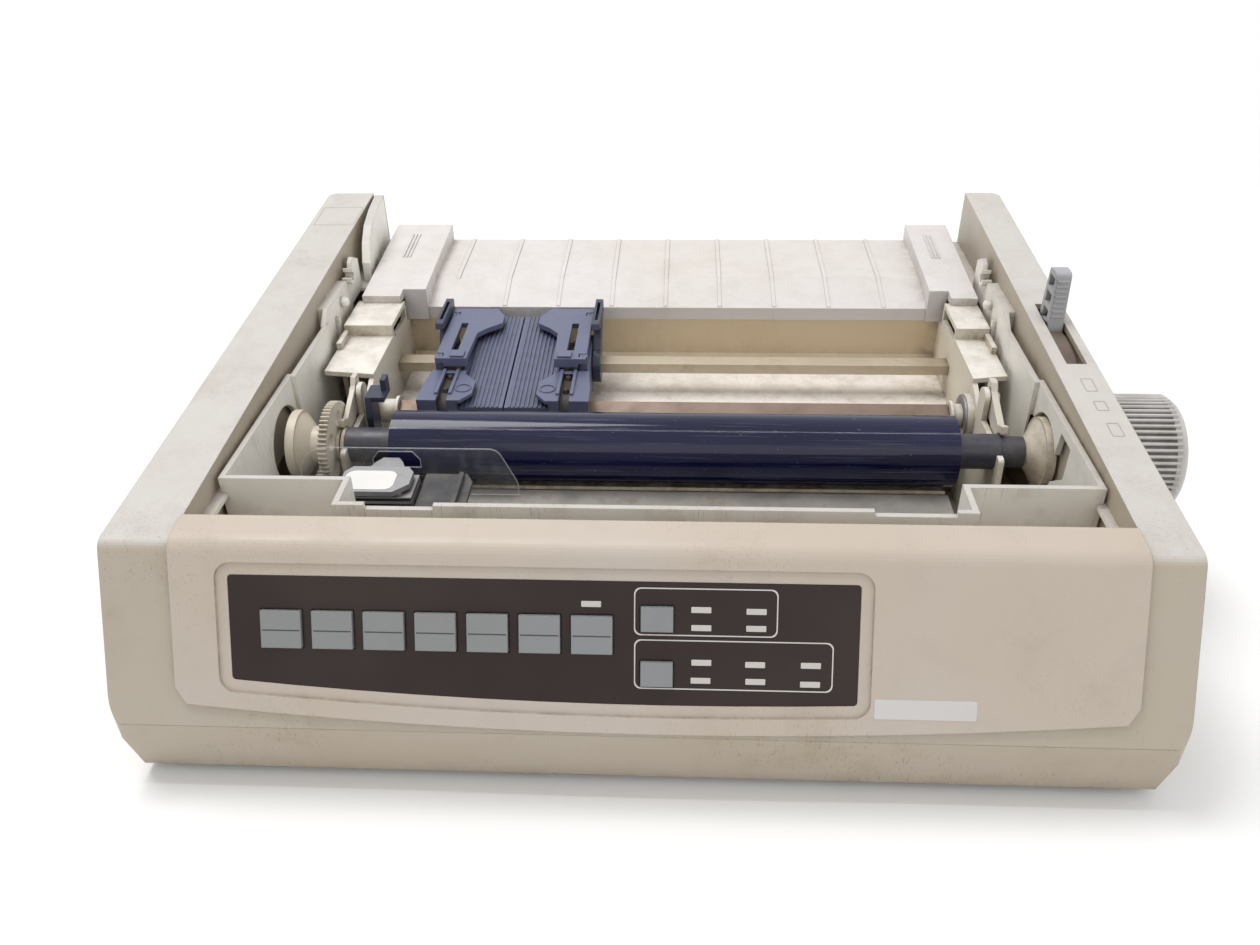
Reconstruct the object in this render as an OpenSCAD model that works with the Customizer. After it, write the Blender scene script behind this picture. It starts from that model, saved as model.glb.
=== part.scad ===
// Desktop dot matrix printer with its access cover and rear cover taken off:
// a moulded case, a platen with its gear train, a print head on a belt driven
// carriage, a pair of pin tractors, and the control panel across the front.

/* [Case] */
// Width of the case beyond each end of the platen's rubber
side_w = 72; // [68:1:80]
// Depth from front to back
case_d = 345; // [343:1:370]
// Wall thickness of the mouldings
wall = 2.8; // [2:0.1:3.5]
// Height of the rubber feet
foot_h = 4; // [3:0.5:8]
// Radius of a rubber foot
foot_r = 9; // [6:1:14]
// Height of the seam between the lower and the upper cover
seam_z = 30.4; // [28:0.5:34]
// Top of the case at its front edge
front_top_z = 94.2; // [90:0.5:100]
// Top of the case at the back
rear_top_z = 116.2; // [110:0.5:125]
// How far the front face leans back between the seam and its top edge
front_lean = 30.2; // [26:0.5:36]
// Width of the left side rail
rail_left_w = 26.5; // [22:0.5:40]
// Width of the right side rail
rail_right_w = 19; // [17:0.5:30]
// Depth of the strip across the top of the front
strip_d = 14; // [10:0.5:16]
// Radius of the case's upright corners
corner_r = 5; // [4:1:12]
// Radius of the front's top edge
edge_r = 6; // [3:0.5:8]

/* [Control panel] */
// Thickness of the raised front moulding
bezel_t = 2.4; // [1.8:0.1:3.5]
// Pitch of the row of keys
key_pitch = 19.05; // [17:0.05:20]
// Width of a key
key_w = 15; // [12:0.5:16]
// Height of a key
key_h = 14.1; // [10:0.1:15]
// Width of a small key
small_key_w = 11.7; // [9:0.1:13]
// Height of a small key
small_key_h = 9.2; // [7:0.1:10]
// Travel of a key
key_travel = 1; // [0.5:0.1:1.5]
// How far a key stands proud of the window
key_proud = 1.6; // [1.2:0.1:2.2]
// Gap around a key in its hole
key_gap = 0.4; // [0.3:0.05:0.6]

/* [Platen] */
// Radius of the platen, four inches round
platen_r = 16.17; // [15:0.01:17]
// Length of the rubber
platen_l = 254; // [240:1:258]
// Middle of the platen, right of the middle of the case
platen_x = 10.5; // [8:0.5:13]
// Height of the platen's axis
platen_z = 67.5; // [66:0.5:70]
// Thickness of the rubber
rubber_t = 3; // [2:0.5:5]
// Radius of the stub shafts
stub_r = 8; // [7:0.5:9]
// Radius of the knob
knob_r = 26.6; // [20:0.1:30]
// How far the knob stands out from the case
knob_out = 32; // [24:0.5:40]
// Number of flutes round the knob
knob_flutes = 60; // [36:4:72]

/* [Gear train] */
// Tooth module of the line feed gears
gear_m = 0.7; // [0.65:0.01:0.72]
// Teeth of the platen gear
platen_teeth = 56; // [54:1:58]
// Teeth of the tractor gear
tractor_teeth = 35; // [33:1:37]
// Teeth of each of the two idlers
idler_teeth = 18; // [17:1:19]
// Teeth of the large wheel of the reduction gear
reduction_teeth = 44; // [42:1:46]
// Teeth of the small wheel of the reduction gear
reduction_pinion_teeth = 18; // [17:1:19]
// Teeth of the motor pinion
motor_teeth = 12; // [12:1:13]
// Face width of a gear
gear_w = 4; // [3:0.5:4.5]
// Play between the flanks of two meshing teeth
backlash = 0.2; // [0.15:0.01:0.25]

/* [Tractors] */
// Pitch of the feed pins, half an inch
pin_pitch = 12.7; // [12:0.1:13]
// Pins round the drive sprocket
sprocket_pins = 5; // [5:1:5]
// Width across the square drive shaft
drive_shaft_w = 8; // [6:0.5:9]
// Width of a tractor
tractor_w = 28; // [26:0.5:30]
// Width of the ribbed paper support beside a tractor
support_w = 15.4; // [12:0.1:18]
// Left edge of the left tractor from the left bay wall
left_tractor_in = 22; // [20:0.5:28]
// Gap between the two paper supports
support_gap = 0.8; // [0.5:0.1:2]
// Thickness of the pin belt
pin_belt_t = 1.2; // [1:0.1:1.5]

/* [Carriage] */
// Radius of the guide shaft
guide_r = 5; // [4:0.25:6]
// Height of the guide shaft
guide_z = 36; // [35:0.5:38]
// Width of the carriage
carriage_w = 36; // [30:1:40]
// Left side of the carriage from the left bay wall
carriage_in = 7; // [6:0.5:10]
// Radius of the belt pulleys
pulley_r = 8; // [7:0.25:9]
// Thickness of the carriage belt
belt_t = 1.2; // [1:0.1:1.5]
// Width of the carriage belt
belt_w = 5; // [4:0.5:6]
// Radius of the stepping motors
motor_r = 17.5; // [15:0.5:18]

/* [Fits] */
// Radial clearance of a shaft that turns in a hole
run_gap = 0.05; // [0.02:0.01:0.1]
// Clearance between parts that move past each other
free_gap = 0.4; // [0.3:0.05:0.6]

/* [Hidden] */
$fn = 48;
cut = 1;                                        // how far a cutter runs past a face

// Case: X to the right, Y to the back, Z up, and X = 0 in the middle of the case
case_w = platen_l + 2 * side_w;
x_left = -case_w / 2;
x_right = case_w / 2;
y_front = -case_d / 2;
y_rear = case_d / 2;
y_edge = y_front + front_lean;
lean_a = atan2(front_lean, front_top_z - seam_z);
slope_a = atan2(rear_top_z - front_top_z, y_rear - y_edge);
open_x = [x_left + rail_left_w, x_right - rail_right_w];
strip_y = y_edge + strip_d;
floor_z = foot_h + wall;
bottom_in = 4.2;                                // how far the case's bottom edges are drawn in
case_gap = 0.3;                                 // seam between the mouldings
skirt_z = 60;                                   // lower edge of the skirts inside the rails
trough_z = [64, 66.5];                          // shelf behind the front strip
groove_z = [84, 86];                            // groove that the access cover's edge drops into
inner_top_z = 93;                               // top of the thin wall round the mechanism
inner_bottom_z = 47;
inner_front_z = 56;
inner_t = 2.5;

// Control panel, in the plane of the front: x to the right, s down the slope from its top edge
bezel_proud = 1.5;
bezel_seat = bezel_t - bezel_proud;
bezel_x = [open_x[0] + case_gap, open_x[1] - case_gap];
bezel_low = 61;                                 // s of the lower corners
bezel_bow = 8;                                  // how much further the middle reaches down
recess_in = 4.6;                                // width of the bevel round the window
recess_t = 0.9;
window_x = [x_left + 48.5, x_left + 278.7];
window_s = [11.5, 51.5, 56.5];                  // top, lower left and lower right
window_bow = 3.5;
window_t = bezel_t - recess_t;
window_face = bezel_proud - recess_t;           // height of the window over the case's front
key_x = window_x[0] + 12.2;                                 // left edge of the first key
key_s = 24.5;
key_names = 7;
small_key_x = window_x[0] + 151.7;
small_key_s = [20.6, 41.2];
key_flange = 0.8;
key_flange_t = 1.6;
key_top = window_face + key_proud;
key_bottom = -bezel_seat - free_gap - key_flange_t - 1.2;
switch_h = 2.6;
board_t = 1.6;
board_out = key_bottom - key_travel - 0.3 - switch_h;   // top of the panel board
panel_hole_x = [key_x - 3, small_key_x + small_key_w + 3];
panel_hole_s = [17, 54.5];

// Mechanism: places are [y, z], with the platen as the reference
platen_at = [-33, platen_z];
platen_span = [platen_x - platen_l / 2, platen_x + platen_l / 2];
frame_t = 2.5;
bay_x = [platen_span[0] - 21, platen_span[1] + 17.5];
left_wall = [bay_x[0] - frame_t, bay_x[0]];
right_wall = [bay_x[1], bay_x[1] + frame_t];
base_z = [12, 13.6];
base_x = [open_x[0] + 9, open_x[1] - 7];
base_y = [y_front + 44.5, y_rear - 76.5];
post_at = [for (x = [base_x[0] + 10, base_x[1] - 8], y = [base_y[0] + 28, base_y[1] - 12]) [x, y]];
post_r = 6;
screw_r = 1.7;
deck_z = 80;                                    // platforms beside the bay
pad_z = 86;
pad_y = [54, 82];
deck_y = [12, 54];
deck_out = [open_x[0] + 9.5, open_x[1] - 8];   // outer sides, left and right

// Gear train
gear_x = [bay_x[0] - frame_t - 3.5 - gear_w, bay_x[0] - frame_t - 3.5];
reduction_x = [gear_x[0] - 1.5 - gear_w, gear_x[0] - 1.5];
shaft_at = [9, 61];
stud_r = 2.5;
pressure_a = 20;
function mesh_r(n1, n2) = gear_m * (n1 + n2) / 2;
function polar(r, a) = r * [cos(a), sin(a)];
// The lower of the two points at distances rp from p and rq from q
function meet(p, rp, q, rq) =
    let (d = norm(q - p), a = (rp * rp - rq * rq + d * d) / (2 * d), h = sqrt(rp * rp - a * a), u = (q - p) / d)
    p + a * u + h * [u.y, -u.x];
idler_1_at = platen_at + polar(mesh_r(platen_teeth, idler_teeth), -40);
idler_2_at = meet(idler_1_at, mesh_r(idler_teeth, idler_teeth), shaft_at, mesh_r(idler_teeth, tractor_teeth));
reduction_at = platen_at + polar(mesh_r(platen_teeth, reduction_pinion_teeth), -110);
motor_at = reduction_at + polar(mesh_r(reduction_teeth, motor_teeth), -30);
// Turn of a wheel of n2 teeth that meshes with one of n1 teeth turned by phase, from p to q
function mesh_phase(phase, p, n1, q, n2) =
    let (a = atan2(q.y - p.y, q.x - p.x)) a + 180 - (phase - a) * n1 / n2 - 180 / n2;
idler_1_phase = mesh_phase(0, platen_at, platen_teeth, idler_1_at, idler_teeth);
idler_2_phase = mesh_phase(idler_1_phase, idler_1_at, idler_teeth, idler_2_at, idler_teeth);
tractor_phase = mesh_phase(idler_2_phase, idler_2_at, idler_teeth, shaft_at, tractor_teeth);
reduction_phase = mesh_phase(0, platen_at, platen_teeth, reduction_at, reduction_pinion_teeth);
motor_phase = mesh_phase(reduction_phase, reduction_at, reduction_teeth, motor_at, motor_teeth);

// Tractors: the belt runs round the drive sprocket and a fixed shoe on the rail
sprocket_r = sprocket_pins * pin_pitch / (2 * PI);
belt_reach = 4 * pin_pitch;
rail_at = shaft_at + [belt_reach, 0];
rail_w = 9;
rail_h = 5.4;
drive_turn = 25;                                // turn of the square shaft at rest
left_tractor_x = bay_x[0] + left_tractor_in;
right_tractor_x = left_tractor_x + tractor_w + 2 * support_w + support_gap;
belt_in = 14;                                   // middle of the pin belt from a tractor's outer side
pin_belt_w = 7;
belt_top_z = shaft_at.y + sprocket_r + pin_belt_t;
pin_h = 2;
pin_r = 1.8;
tractor_y = [shaft_at.x - sprocket_r - pin_belt_t - 1.6, rail_at.x + sprocket_r + pin_belt_t + 3];
tractor_bottom_z = 48;
lid_y = [27.5, 86];
lid_z = [78.2, 81];
lid_hinge = [7, 79.5];                          // across a tractor and up
hinge_r = 1.2;
lock_r = 9.5;
lock_collar_r = norm([rail_w, rail_h]) / 2 + 1.5;
lock_x = [0.5, 4.5];
outer_plate = [5, 8.5];
inner_plate = [19.5, 21.5];

// Carriage
guide_at = [-84, guide_z];
carriage_x = [bay_x[0] + carriage_in, bay_x[0] + carriage_in + carriage_w];
head_x = [carriage_x[0] + 1, carriage_x[0] + 31];
head_y = [guide_at.x - 1, guide_at.x + 18];
belt_y = [guide_at.x - 17, guide_at.x - 17 + belt_w];
pulley_z = guide_at.y;
pulley_x = [bay_x[0] + 6.5, bay_x[1] - 17];
pulley_flange_r = pulley_r + 2;
bracket_y = [belt_y[0] - 4.5, belt_y[0] - 2.5];
space_motor_l = 22;

// Levers
gap_lever_x = [bay_x[0] + 4, bay_x[0] + 7];
gap_lever_at = platen_at + [19, -10.5];
release_at = [12, 40];
release_pin_r = 3;

// Rear of the lower cover
socket_z = [floor_z + 1.7, seam_z - 2.9];
inlet_x = [x_right - 67, x_right - 39];
switch_x = [x_right - 95, x_right - 76];
port_x = [x_left + 81, x_left + 137];

function unit(v) = v / norm(v);
function shift(range, by) = [range[0] + by, range[1] + by];
function inset(range, by) = [range[0] + by, range[1] - by];
// Points of an arc of radius r that rounds corner b of the path a, b, c
function fillet(a, b, c, r, n = 6) =
    let (u = unit(a - b), v = unit(c - b), half = acos(u * v) / 2, reach = r / tan(half),
         centre = b + unit(u + v) * r / sin(half), from = b + u * reach - centre, to = b + v * reach - centre,
         a0 = atan2(from.y, from.x), sweep = (atan2(to.y, to.x) - a0 + 540) % 360 - 180)
    [for (i = [0:n]) centre + polar(r, a0 + sweep * i / n)];
// A closed outline with each corner rounded by its own radius
function rounded(points, radii) =
    let (n = len(points))
    [for (i = [0:n - 1]) each radii[i] > 0
        ? fillet(points[(i + n - 1) % n], points[i], points[(i + 1) % n], radii[i])
        : [points[i]]];

module box(x, y, z) translate([x[0], y[0], z[0]]) cube([x[1] - x[0], y[1] - y[0], z[1] - z[0]]);
// Extrudes a (y, z) outline between two places along X
module along_x(x) translate([x[0], 0, 0]) rotate([90, 0, 90]) linear_extrude(x[1] - x[0]) children();
// Extrudes an (x, z) outline between two places along Y
module along_y(y) translate([0, y[1], 0]) rotate([90, 0, 0]) linear_extrude(y[1] - y[0]) children();
module rod_x(x, at, r) translate([x[0], at.x, at.y]) rotate([0, 90, 0]) cylinder(r = r, h = x[1] - x[0]);
module rod_y(y, at, r) translate([at.x, y[1], at.y]) rotate([90, 0, 0]) cylinder(r = r, h = y[1] - y[0]);
module rod_z(z, at, r) translate([at.x, at.y, z[0]]) cylinder(r = r, h = z[1] - z[0]);
module rounded_rect(x, y, r) {
    translate([x[0] + r, y[0]]) square([x[1] - x[0] - 2 * r, y[1] - y[0]]);
    translate([x[0], y[0] + r]) square([x[1] - x[0], y[1] - y[0] - 2 * r]);
    for (cx = [x[0] + r, x[1] - r], cy = [y[0] + r, y[1] - r]) translate([cx, cy]) circle(r);
}
// Stands its children on the sloping front, x to the right and y up the slope
module on_front(out = 0) translate([0, y_edge, front_top_z]) rotate([90 - lean_a, 0, 0]) translate([0, 0, out]) children();
// A block on the sloping front, from s[0] down to s[1] and from out[0] to out[1]
module front_block(x, s, out) on_front(out[0]) box(x, [-s[1], -s[0]], [0, out[1] - out[0]]);

// ---- Case ----
function front_y(z, inset) = y_front + (z - seam_z) * tan(lean_a) + inset / cos(lean_a);
function top_at(y, inset = 0) = front_top_z + (y - y_edge) * tan(slope_a) - inset / cos(slope_a);
// Where the front and the top meet when both are moved in by inset
function edge_point(inset) =
    let (t = tan(lean_a), s = tan(slope_a), y0 = y_front + inset / cos(lean_a) - seam_z * t - y_edge,
         z = (front_top_z - inset / cos(slope_a) + s * y0) / (1 - s * t))
    [front_y(z, inset), z];
function side_outline(inset, z0) =
    rounded([[front_y(z0, inset), z0], edge_point(inset), [y_rear - inset, top_at(y_rear - inset, inset)],
             [y_rear - inset, z0]], [0, edge_r - inset, 0, 0]);

module case_plan(inset) rounded_rect([x_left + inset, x_right - inset], [y_front + inset, y_rear - inset], corner_r - inset);

module upper_form(inset, z0) {
    intersection() {
        along_x([x_left + inset, x_right - inset]) polygon(side_outline(inset, z0));
        translate([0, 0, z0]) linear_extrude(rear_top_z) case_plan(inset);
    }
}

module lower_form(inset, z0) {
    in = bottom_in + inset;
    intersection() {
        along_y([y_front, y_rear])
            polygon([[x_left + in, z0], [x_right - in, z0], [x_right - inset, seam_z], [x_left + inset, seam_z]]);
        along_x([x_left, x_right])
            polygon([[y_front + in, z0], [y_rear - inset, z0], [y_rear - inset, seam_z], [y_front + inset, seam_z]]);
        translate([0, 0, z0]) linear_extrude(seam_z - z0) case_plan(inset);
    }
}

vent_y = [-60, y_rear - 42.5];
vent_pitch = 9;
foot_at = [for (x = [x_left + 38, x_right - 38], y = [y_front + 28, y_rear - 28]) [x, y]];

module lower_cover() color("#d9d2c0") {
    difference() {
        union() {
            difference() {
                lower_form(0, foot_h);
                lower_form(wall, floor_z);
                translate([0, 0, seam_z - cut / 2]) linear_extrude(cut) case_plan(wall);
            }
            for (p = post_at) rod_z([floor_z, base_z[0]], p, post_r);
        }
        for (p = post_at) {
            rod_z([foot_h - cut, base_z[0] + cut], p, screw_r);
            rod_z([foot_h - cut, foot_h + 2.2], p, 2 * screw_r + 0.2);
        }
        // Slots that let air in under the power supply and the board
        for (y = [vent_y[0]:vent_pitch:vent_y[1]], x = [-120, 60]) box([x, x + 60], [y, y + 3], [foot_h - cut, floor_z + cut]);
        // Openings in the back for the inlet, the switch and the port
        for (x = [inlet_x, switch_x, port_x]) box(x, [y_rear - wall - cut, y_rear + cut], socket_z);
    }
}

module rubber_feet() color("#3a3936") for (p = foot_at) rod_z([0, foot_h], p, foot_r);

module cover_screws() color("silver") for (p = post_at) {
    rod_z([foot_h + 0.3, foot_h + 2.2], p, 2 * screw_r);
    rod_z([foot_h + 2.2, base_z[1] + 1.5], p, screw_r - 0.1);
}

slot_x = [x_right - 13, x_right - 4];
slot_y = [-15.5, 39];
knob_hole_r = 12;
inner_y = [-116, -99, -12, 42];                 // front of the middle, front of the sides, jog, end
inner_x = [open_x[0] + 2, bay_x[0] + 18, bay_x[1] - 28, open_x[1] - 1];
sight_hole_r = 25;
sight_at = platen_at + [12, -15.5];

module inner_wall() {
    z = [inner_bottom_z, inner_top_z];
    front_z = [inner_front_z, inner_top_z];
    box([inner_x[0], inner_x[0] + inner_t], [inner_y[1], inner_y[2]], z);
    box([inner_x[0], inner_x[1] + inner_t], [inner_y[1], inner_y[1] + inner_t], front_z);
    box([inner_x[1], inner_x[1] + inner_t], [inner_y[0], inner_y[1] + inner_t], front_z);
    box([inner_x[1], inner_x[2]], [inner_y[0], inner_y[0] + inner_t], front_z);
    box([inner_x[2] - inner_t, inner_x[2]], [inner_y[0], inner_y[1] + inner_t], front_z);
    box([inner_x[2] - inner_t, inner_x[3]], [inner_y[1], inner_y[1] + inner_t], front_z);
    box([inner_x[3] - inner_t, inner_x[3]], [inner_y[1], inner_y[2]], z);
    box([inner_x[3] - inner_t - 2, inner_x[3] - 2], [inner_y[2] - inner_t, inner_y[3]], z);
    box([inner_x[3] - inner_t - 2, inner_x[3]], [inner_y[2] - inner_t, inner_y[2]], z);
    box([inner_x[0] + 2, inner_x[0] + inner_t + 2], [inner_y[2] - inner_t, inner_y[3]], z);
    box([inner_x[0], inner_x[0] + inner_t + 2], [inner_y[2] - inner_t, inner_y[2]], z);
}

// Mirrors its children to the left rail when side is -1; x is measured inward from the opening's edge
module at_rail(side) {
    if (side < 0) translate([open_x[0], 0, 0]) children();
    else translate([open_x[1], 0, 0]) mirror([1, 0, 0]) children();
}

carrier_x = [3, 5.5];
carrier_y = [46, 92];
carrier_z = 99;
pivot_at = [68, 93];
hook_at = [86, 100];
fin_y = 106;
fin_out = [6.5, 11];                            // the fin's front end from the opening's edge

// The skirt, groove and pivot carrier of one side; side is -1 on the left, 1 on the right
module rail_inside(side) {
    intersection() {
        at_rail(side) box([-wall, 0], [strip_y - wall, y_rear], [skirt_z, rear_top_z]);
        upper_form(0, seam_z);
    }
    at_rail(side) {
        groove = side < 0 ? inner_x[0] + inner_t - open_x[0] : open_x[1] - inner_x[3] + inner_t;
        box([0, groove], [strip_y - wall, inner_y[2]], groove_z);
        box([0, carrier_x[1]], [inner_y[2], y_rear], groove_z);
        // Carrier of the access cover's pivot: an upright plate with a flat top to the rail
        along_x(carrier_x) polygon([[inner_y[3] - 4, inner_bottom_z], [inner_y[3] - 4, 93], [carrier_y[0], carrier_z],
            [carrier_y[1], carrier_z], [carrier_y[1] + 2, carrier_z + 5], [carrier_y[1] + 6, carrier_z + 7], [fin_y, carrier_z + 3],
            [fin_y, groove_z[0]], [carrier_y[1] - 6, groove_z[0]], [carrier_y[1] - 14, inner_bottom_z]]);
        box([0, carrier_x[1]], [carrier_y[0], carrier_y[1] - 10], [carrier_z - 2.5, carrier_z]);
        box([0, carrier_x[1]], [carrier_y[0], carrier_y[0] + 2.5], [groove_z[0], carrier_z]);
        box([carrier_x[1] - 0.1, carrier_x[1] + 2], [54, 57], [62, 90]);
        rod_x([carrier_x[1] - 0.1, carrier_x[1] + 1], pivot_at, 2);
        translate([carrier_x[1] + 1.6, pivot_at.x, pivot_at.y]) sphere(2.8);
        difference() {
            rod_x([carrier_x[0], carrier_x[1] + 2.5], hook_at, 4.2);
            rod_x([carrier_x[0] - cut, carrier_x[1] + 2.5 + cut], hook_at, 2.2);
            box([carrier_x[0] - cut, carrier_x[1] + 4], [hook_at.x - 6, hook_at.x], [hook_at.y, hook_at.y + 6]);
        }
    }
}

module upper_cover() color("#ddd6c4") {
    difference() {
        union() {
            difference() {
                upper_form(0, seam_z);
                upper_form(wall, seam_z - cut);
                translate([0, 0, seam_z - cut]) linear_extrude(2 * cut) case_plan(wall);
                box(open_x, [strip_y, y_rear - wall], [skirt_z, rear_top_z + cut]);
                box(open_x, [y_rear - wall - cut, y_rear + cut], [table_seat_z, rear_top_z + cut]);
            }
            for (side = [-1, 1]) rail_inside(side);
            // Curved fin beside the left rail's rear end, nearer to the rail at the back
            intersection() {
                along_x([open_x[0], open_x[0] + fin_out[1]]) polygon([[fin_y + 4, groove_z[0]], [fin_y + 5, 97],
                    [fin_y + 12, 106], [fin_y + 24, 112], [fin_y + 42, 114.5], [y_rear, 115], [y_rear, groove_z[0]]]);
                linear_extrude(rear_top_z) polygon([[open_x[0] + fin_out[0], fin_y], [open_x[0] + fin_out[1], fin_y],
                    [open_x[0] + 6, y_rear], [open_x[0] + 0.5, y_rear]]);
            }
            box([open_x[0], open_x[0] + fin_out[1]], [fin_y - 4, y_rear], groove_z);
            intersection() {
                box(open_x, [strip_y - wall, strip_y], [trough_z[0], front_top_z + 5]);
                upper_form(0, seam_z);
            }
            box([inner_x[0], inner_x[3]], [strip_y - wall, inner_y[0] + inner_t], trough_z);
            box([inner_x[0], inner_x[1] + inner_t], [inner_y[0], inner_y[1] + inner_t], trough_z);
            box([inner_x[2] - inner_t, inner_x[3]], [inner_y[0], inner_y[1] + inner_t], trough_z);
            inner_wall();
            // Boss of the release lever's pivot
            rod_x([slot_x[0] - 1.5, x_right - wall + 0.1], release_at, release_pin_r);
            // Posts that carry the panel board
            for (x = board_post_x, s = board_post_s)
                front_block([x - 3, x + 3], [s - 3, s + 3], [board_out, -bezel_seat - 0.5]);
        }
        bezel_skin([bezel_seat, -cut]);
        front_block(panel_hole_x, panel_hole_s, [-wall - cut, cut]);
        box(slot_x, slot_y, [skirt_z, rear_top_z]);
        rod_x([open_x[1] - cut, x_right + cut], platen_at, knob_hole_r);
        rod_x([inner_x[3] - inner_t - cut, inner_x[3] + cut], sight_at, sight_hole_r);
        rod_x([inner_x[3] - inner_t - cut, inner_x[3] + cut], platen_at, hub_out_r + 2);
        rod_x([inner_x[0] - cut, inner_x[0] + inner_t + cut], platen_at, hub_out_r + 2);
        // Low places in the thin wall where the access cover's catches go
        for (x = [[-107, -80], [88, 119]]) box(x, [inner_y[0] - cut, inner_y[0] + inner_t + cut], [inner_top_z - 2, inner_top_z + cut]);
        // Window in the right side of the thin wall
        along_x([inner_x[3] - inner_t - cut, inner_x[3] + cut])
            polygon([[platen_at.x - 18, 88.5], [platen_at.x - 30.5, 88], [platen_at.x - 30, 73], [platen_at.x - 13, 60]]);
    }
}

function bezel_low_at(x) = let (mid = (bezel_x[0] + bezel_x[1]) / 2, u = (x - mid) / (bezel_x[1] - mid))
    -bezel_low - bezel_bow * (1 - u * u);
bezel_steps = 12;
function bezel_outline() = concat(
    [[bezel_x[0], 3], [bezel_x[0], -bezel_low + 6]],
    [for (i = [0:bezel_steps]) let (x = bezel_x[0] + 4 + (bezel_x[1] - bezel_x[0] - 8) * i / bezel_steps) [x, bezel_low_at(x)]],
    [[bezel_x[1], -bezel_low + 6], [bezel_x[1], 3]]);

// The bezel's skin between two insets of the case's form
module bezel_skin(inset) {
    intersection() {
        difference() {
            along_x(bezel_x) polygon(side_outline(inset[1], seam_z));
            along_x([x_left, x_right]) polygon(side_outline(inset[0], seam_z - 3 * cut));
        }
        union() {
            on_front(-bezel_seat - cut) linear_extrude(bezel_t + 4 * cut) polygon(bezel_outline());
            box(bezel_x, [y_edge - 9, strip_y], [front_top_z - 9, front_top_z + 12]);
        }
    }
}

// Outline of the window, or of the recess round it, grown by out
function window_low(x, out) =
    let (u = (x - window_x[0]) / (window_x[1] - window_x[0]))
    -window_s[1] - (window_s[2] - window_s[1]) * u - window_bow * 4 * u * (1 - u) - out;
window_steps = 10;
function window_outline(out) = concat(
    [[window_x[0] - out, -window_s[0] + out]],
    [for (i = [0:window_steps]) let (x = window_x[0] + (window_x[1] - window_x[0]) * i / window_steps,
        grow = i == 0 ? -out : (i == window_steps ? out : 0)) [x + grow, window_low(x, out)]],
    [[window_x[1] + out, -window_s[0] + out]]);
function window_form(out) = rounded(window_outline(out), [for (i = [0:window_steps + 2]) i < 2 || i > window_steps ? 1.5 + out : 0]);

module front_bezel() color("#ddd6c4") {
    difference() {
        bezel_skin([bezel_seat, -bezel_proud]);
        on_front(window_face) linear_extrude(bezel_t) polygon(window_form(recess_in));
        on_front(-bezel_seat - 2 * cut) linear_extrude(bezel_t + 4 * cut) polygon(window_form(0));
    }
}

module key_holes(gap) {
    for (i = [0:key_names - 1]) {
        x = key_x + i * key_pitch;
        front_block([x - gap, x + key_w + gap], [key_s - gap, key_s + key_h + gap], [-bezel_seat - cut, window_face + cut]);
    }
    for (s = small_key_s)
        front_block([small_key_x - gap, small_key_x + small_key_w + gap], [s - gap, s + small_key_h + gap],
                    [-bezel_seat - cut, window_face + cut]);
}

module control_window() color("#3b302b") {
    difference() {
        on_front(-bezel_seat + 0.05) linear_extrude(window_t - 0.05) polygon(window_form(-0.1));
        key_holes(key_gap);
    }
}

// A key whose top left corner is at x and s on the front
module key_cap(x, s, w, h) color("#9a9b9a") {
    front_block([x, x + w], [s, s + h], [-bezel_seat - free_gap, key_top]);
    front_block([x - key_flange, x + w + key_flange], [s - key_flange, s + h + key_flange],
                [-bezel_seat - free_gap - key_flange_t, -bezel_seat - free_gap]);
    front_block([x + w / 2 - 2, x + w / 2 + 2], [s + h / 2 - 2, s + h / 2 + 2], [key_bottom, -bezel_seat - free_gap - key_flange_t]);
}
module row_key(i) key_cap(key_x + (i - 1) * key_pitch, key_s, key_w, key_h);
module small_key(i) key_cap(small_key_x, small_key_s[i - 1], small_key_w, small_key_h);

board_post_x = [panel_hole_x[0] - 5, panel_hole_x[1] + 44];
board_post_s = [16, 50];

module panel_board() color("#2f5d3a") {
    front_block([board_post_x[0] - 6, board_post_x[1] + 6], [10, 56], [board_out - board_t, board_out]);
    // Switches under the keys
    for (i = [0:key_names - 1]) {
        x = key_x + i * key_pitch + key_w / 2;
        front_block([x - 3, x + 3], [key_s + key_h / 2 - 3, key_s + key_h / 2 + 3], [board_out, board_out + switch_h]);
    }
    for (s = small_key_s) {
        x = small_key_x + small_key_w / 2;
        front_block([x - 3, x + 3], [s + small_key_h / 2 - 3, s + small_key_h / 2 + 3], [board_out, board_out + switch_h]);
    }
}

// ---- Paper table over the back of the case ----
table_y = [y_rear - 81, y_rear - 53.5];         // front edge and crease
table_z = [79.5, 86, 87];                       // front edge, crease and back
table_t = 2.5;
table_seat_z = table_z[2] - table_t;
table_lip = 7;
table_x = [bay_x[0] + 11, bay_x[1] - 7.5];
rib_w = 2.2;
rib_h = 0.5;
rib_count = 9;
rib_pitch = 29.8;
block_top_z = 90;
block_slope = 6.5 / 90;
left_block_x = [deck_out[0] + 3, bay_x[0] - 1.5];
right_block_x = [bay_x[1] + 2.5, deck_out[1] - 0.5];

function table_outline(out, t) =
    [[table_y[0], table_z[0] + out - t], [table_y[0], table_z[0] + out], [table_y[1], table_z[1] + out],
     [y_rear, table_z[2] + out], [y_rear, table_z[2] + out - t], [table_y[1], table_z[1] + out - t],
     [table_y[0] + 2, table_z[0] + out - t]];
function block_top(y) = block_top_z + (y - pad_y[1]) * block_slope;
function block_outline(y0, z0, in) =
    [[y0 + in, z0 - in * cut], [y0 + in, block_top(y0 + in) - in], [y_rear - in, block_top(y_rear - in) - in],
     [y_rear - in, z0 - in * cut]];

// A hollow block open at the bottom, from its front y0 to the back
module table_block(x, y0, z0) {
    difference() {
        along_x(x) polygon(block_outline(y0, z0, 0));
        along_x([x[0] + table_t, x[1] - table_t]) polygon(block_outline(y0, z0, table_t));
    }
}

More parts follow.
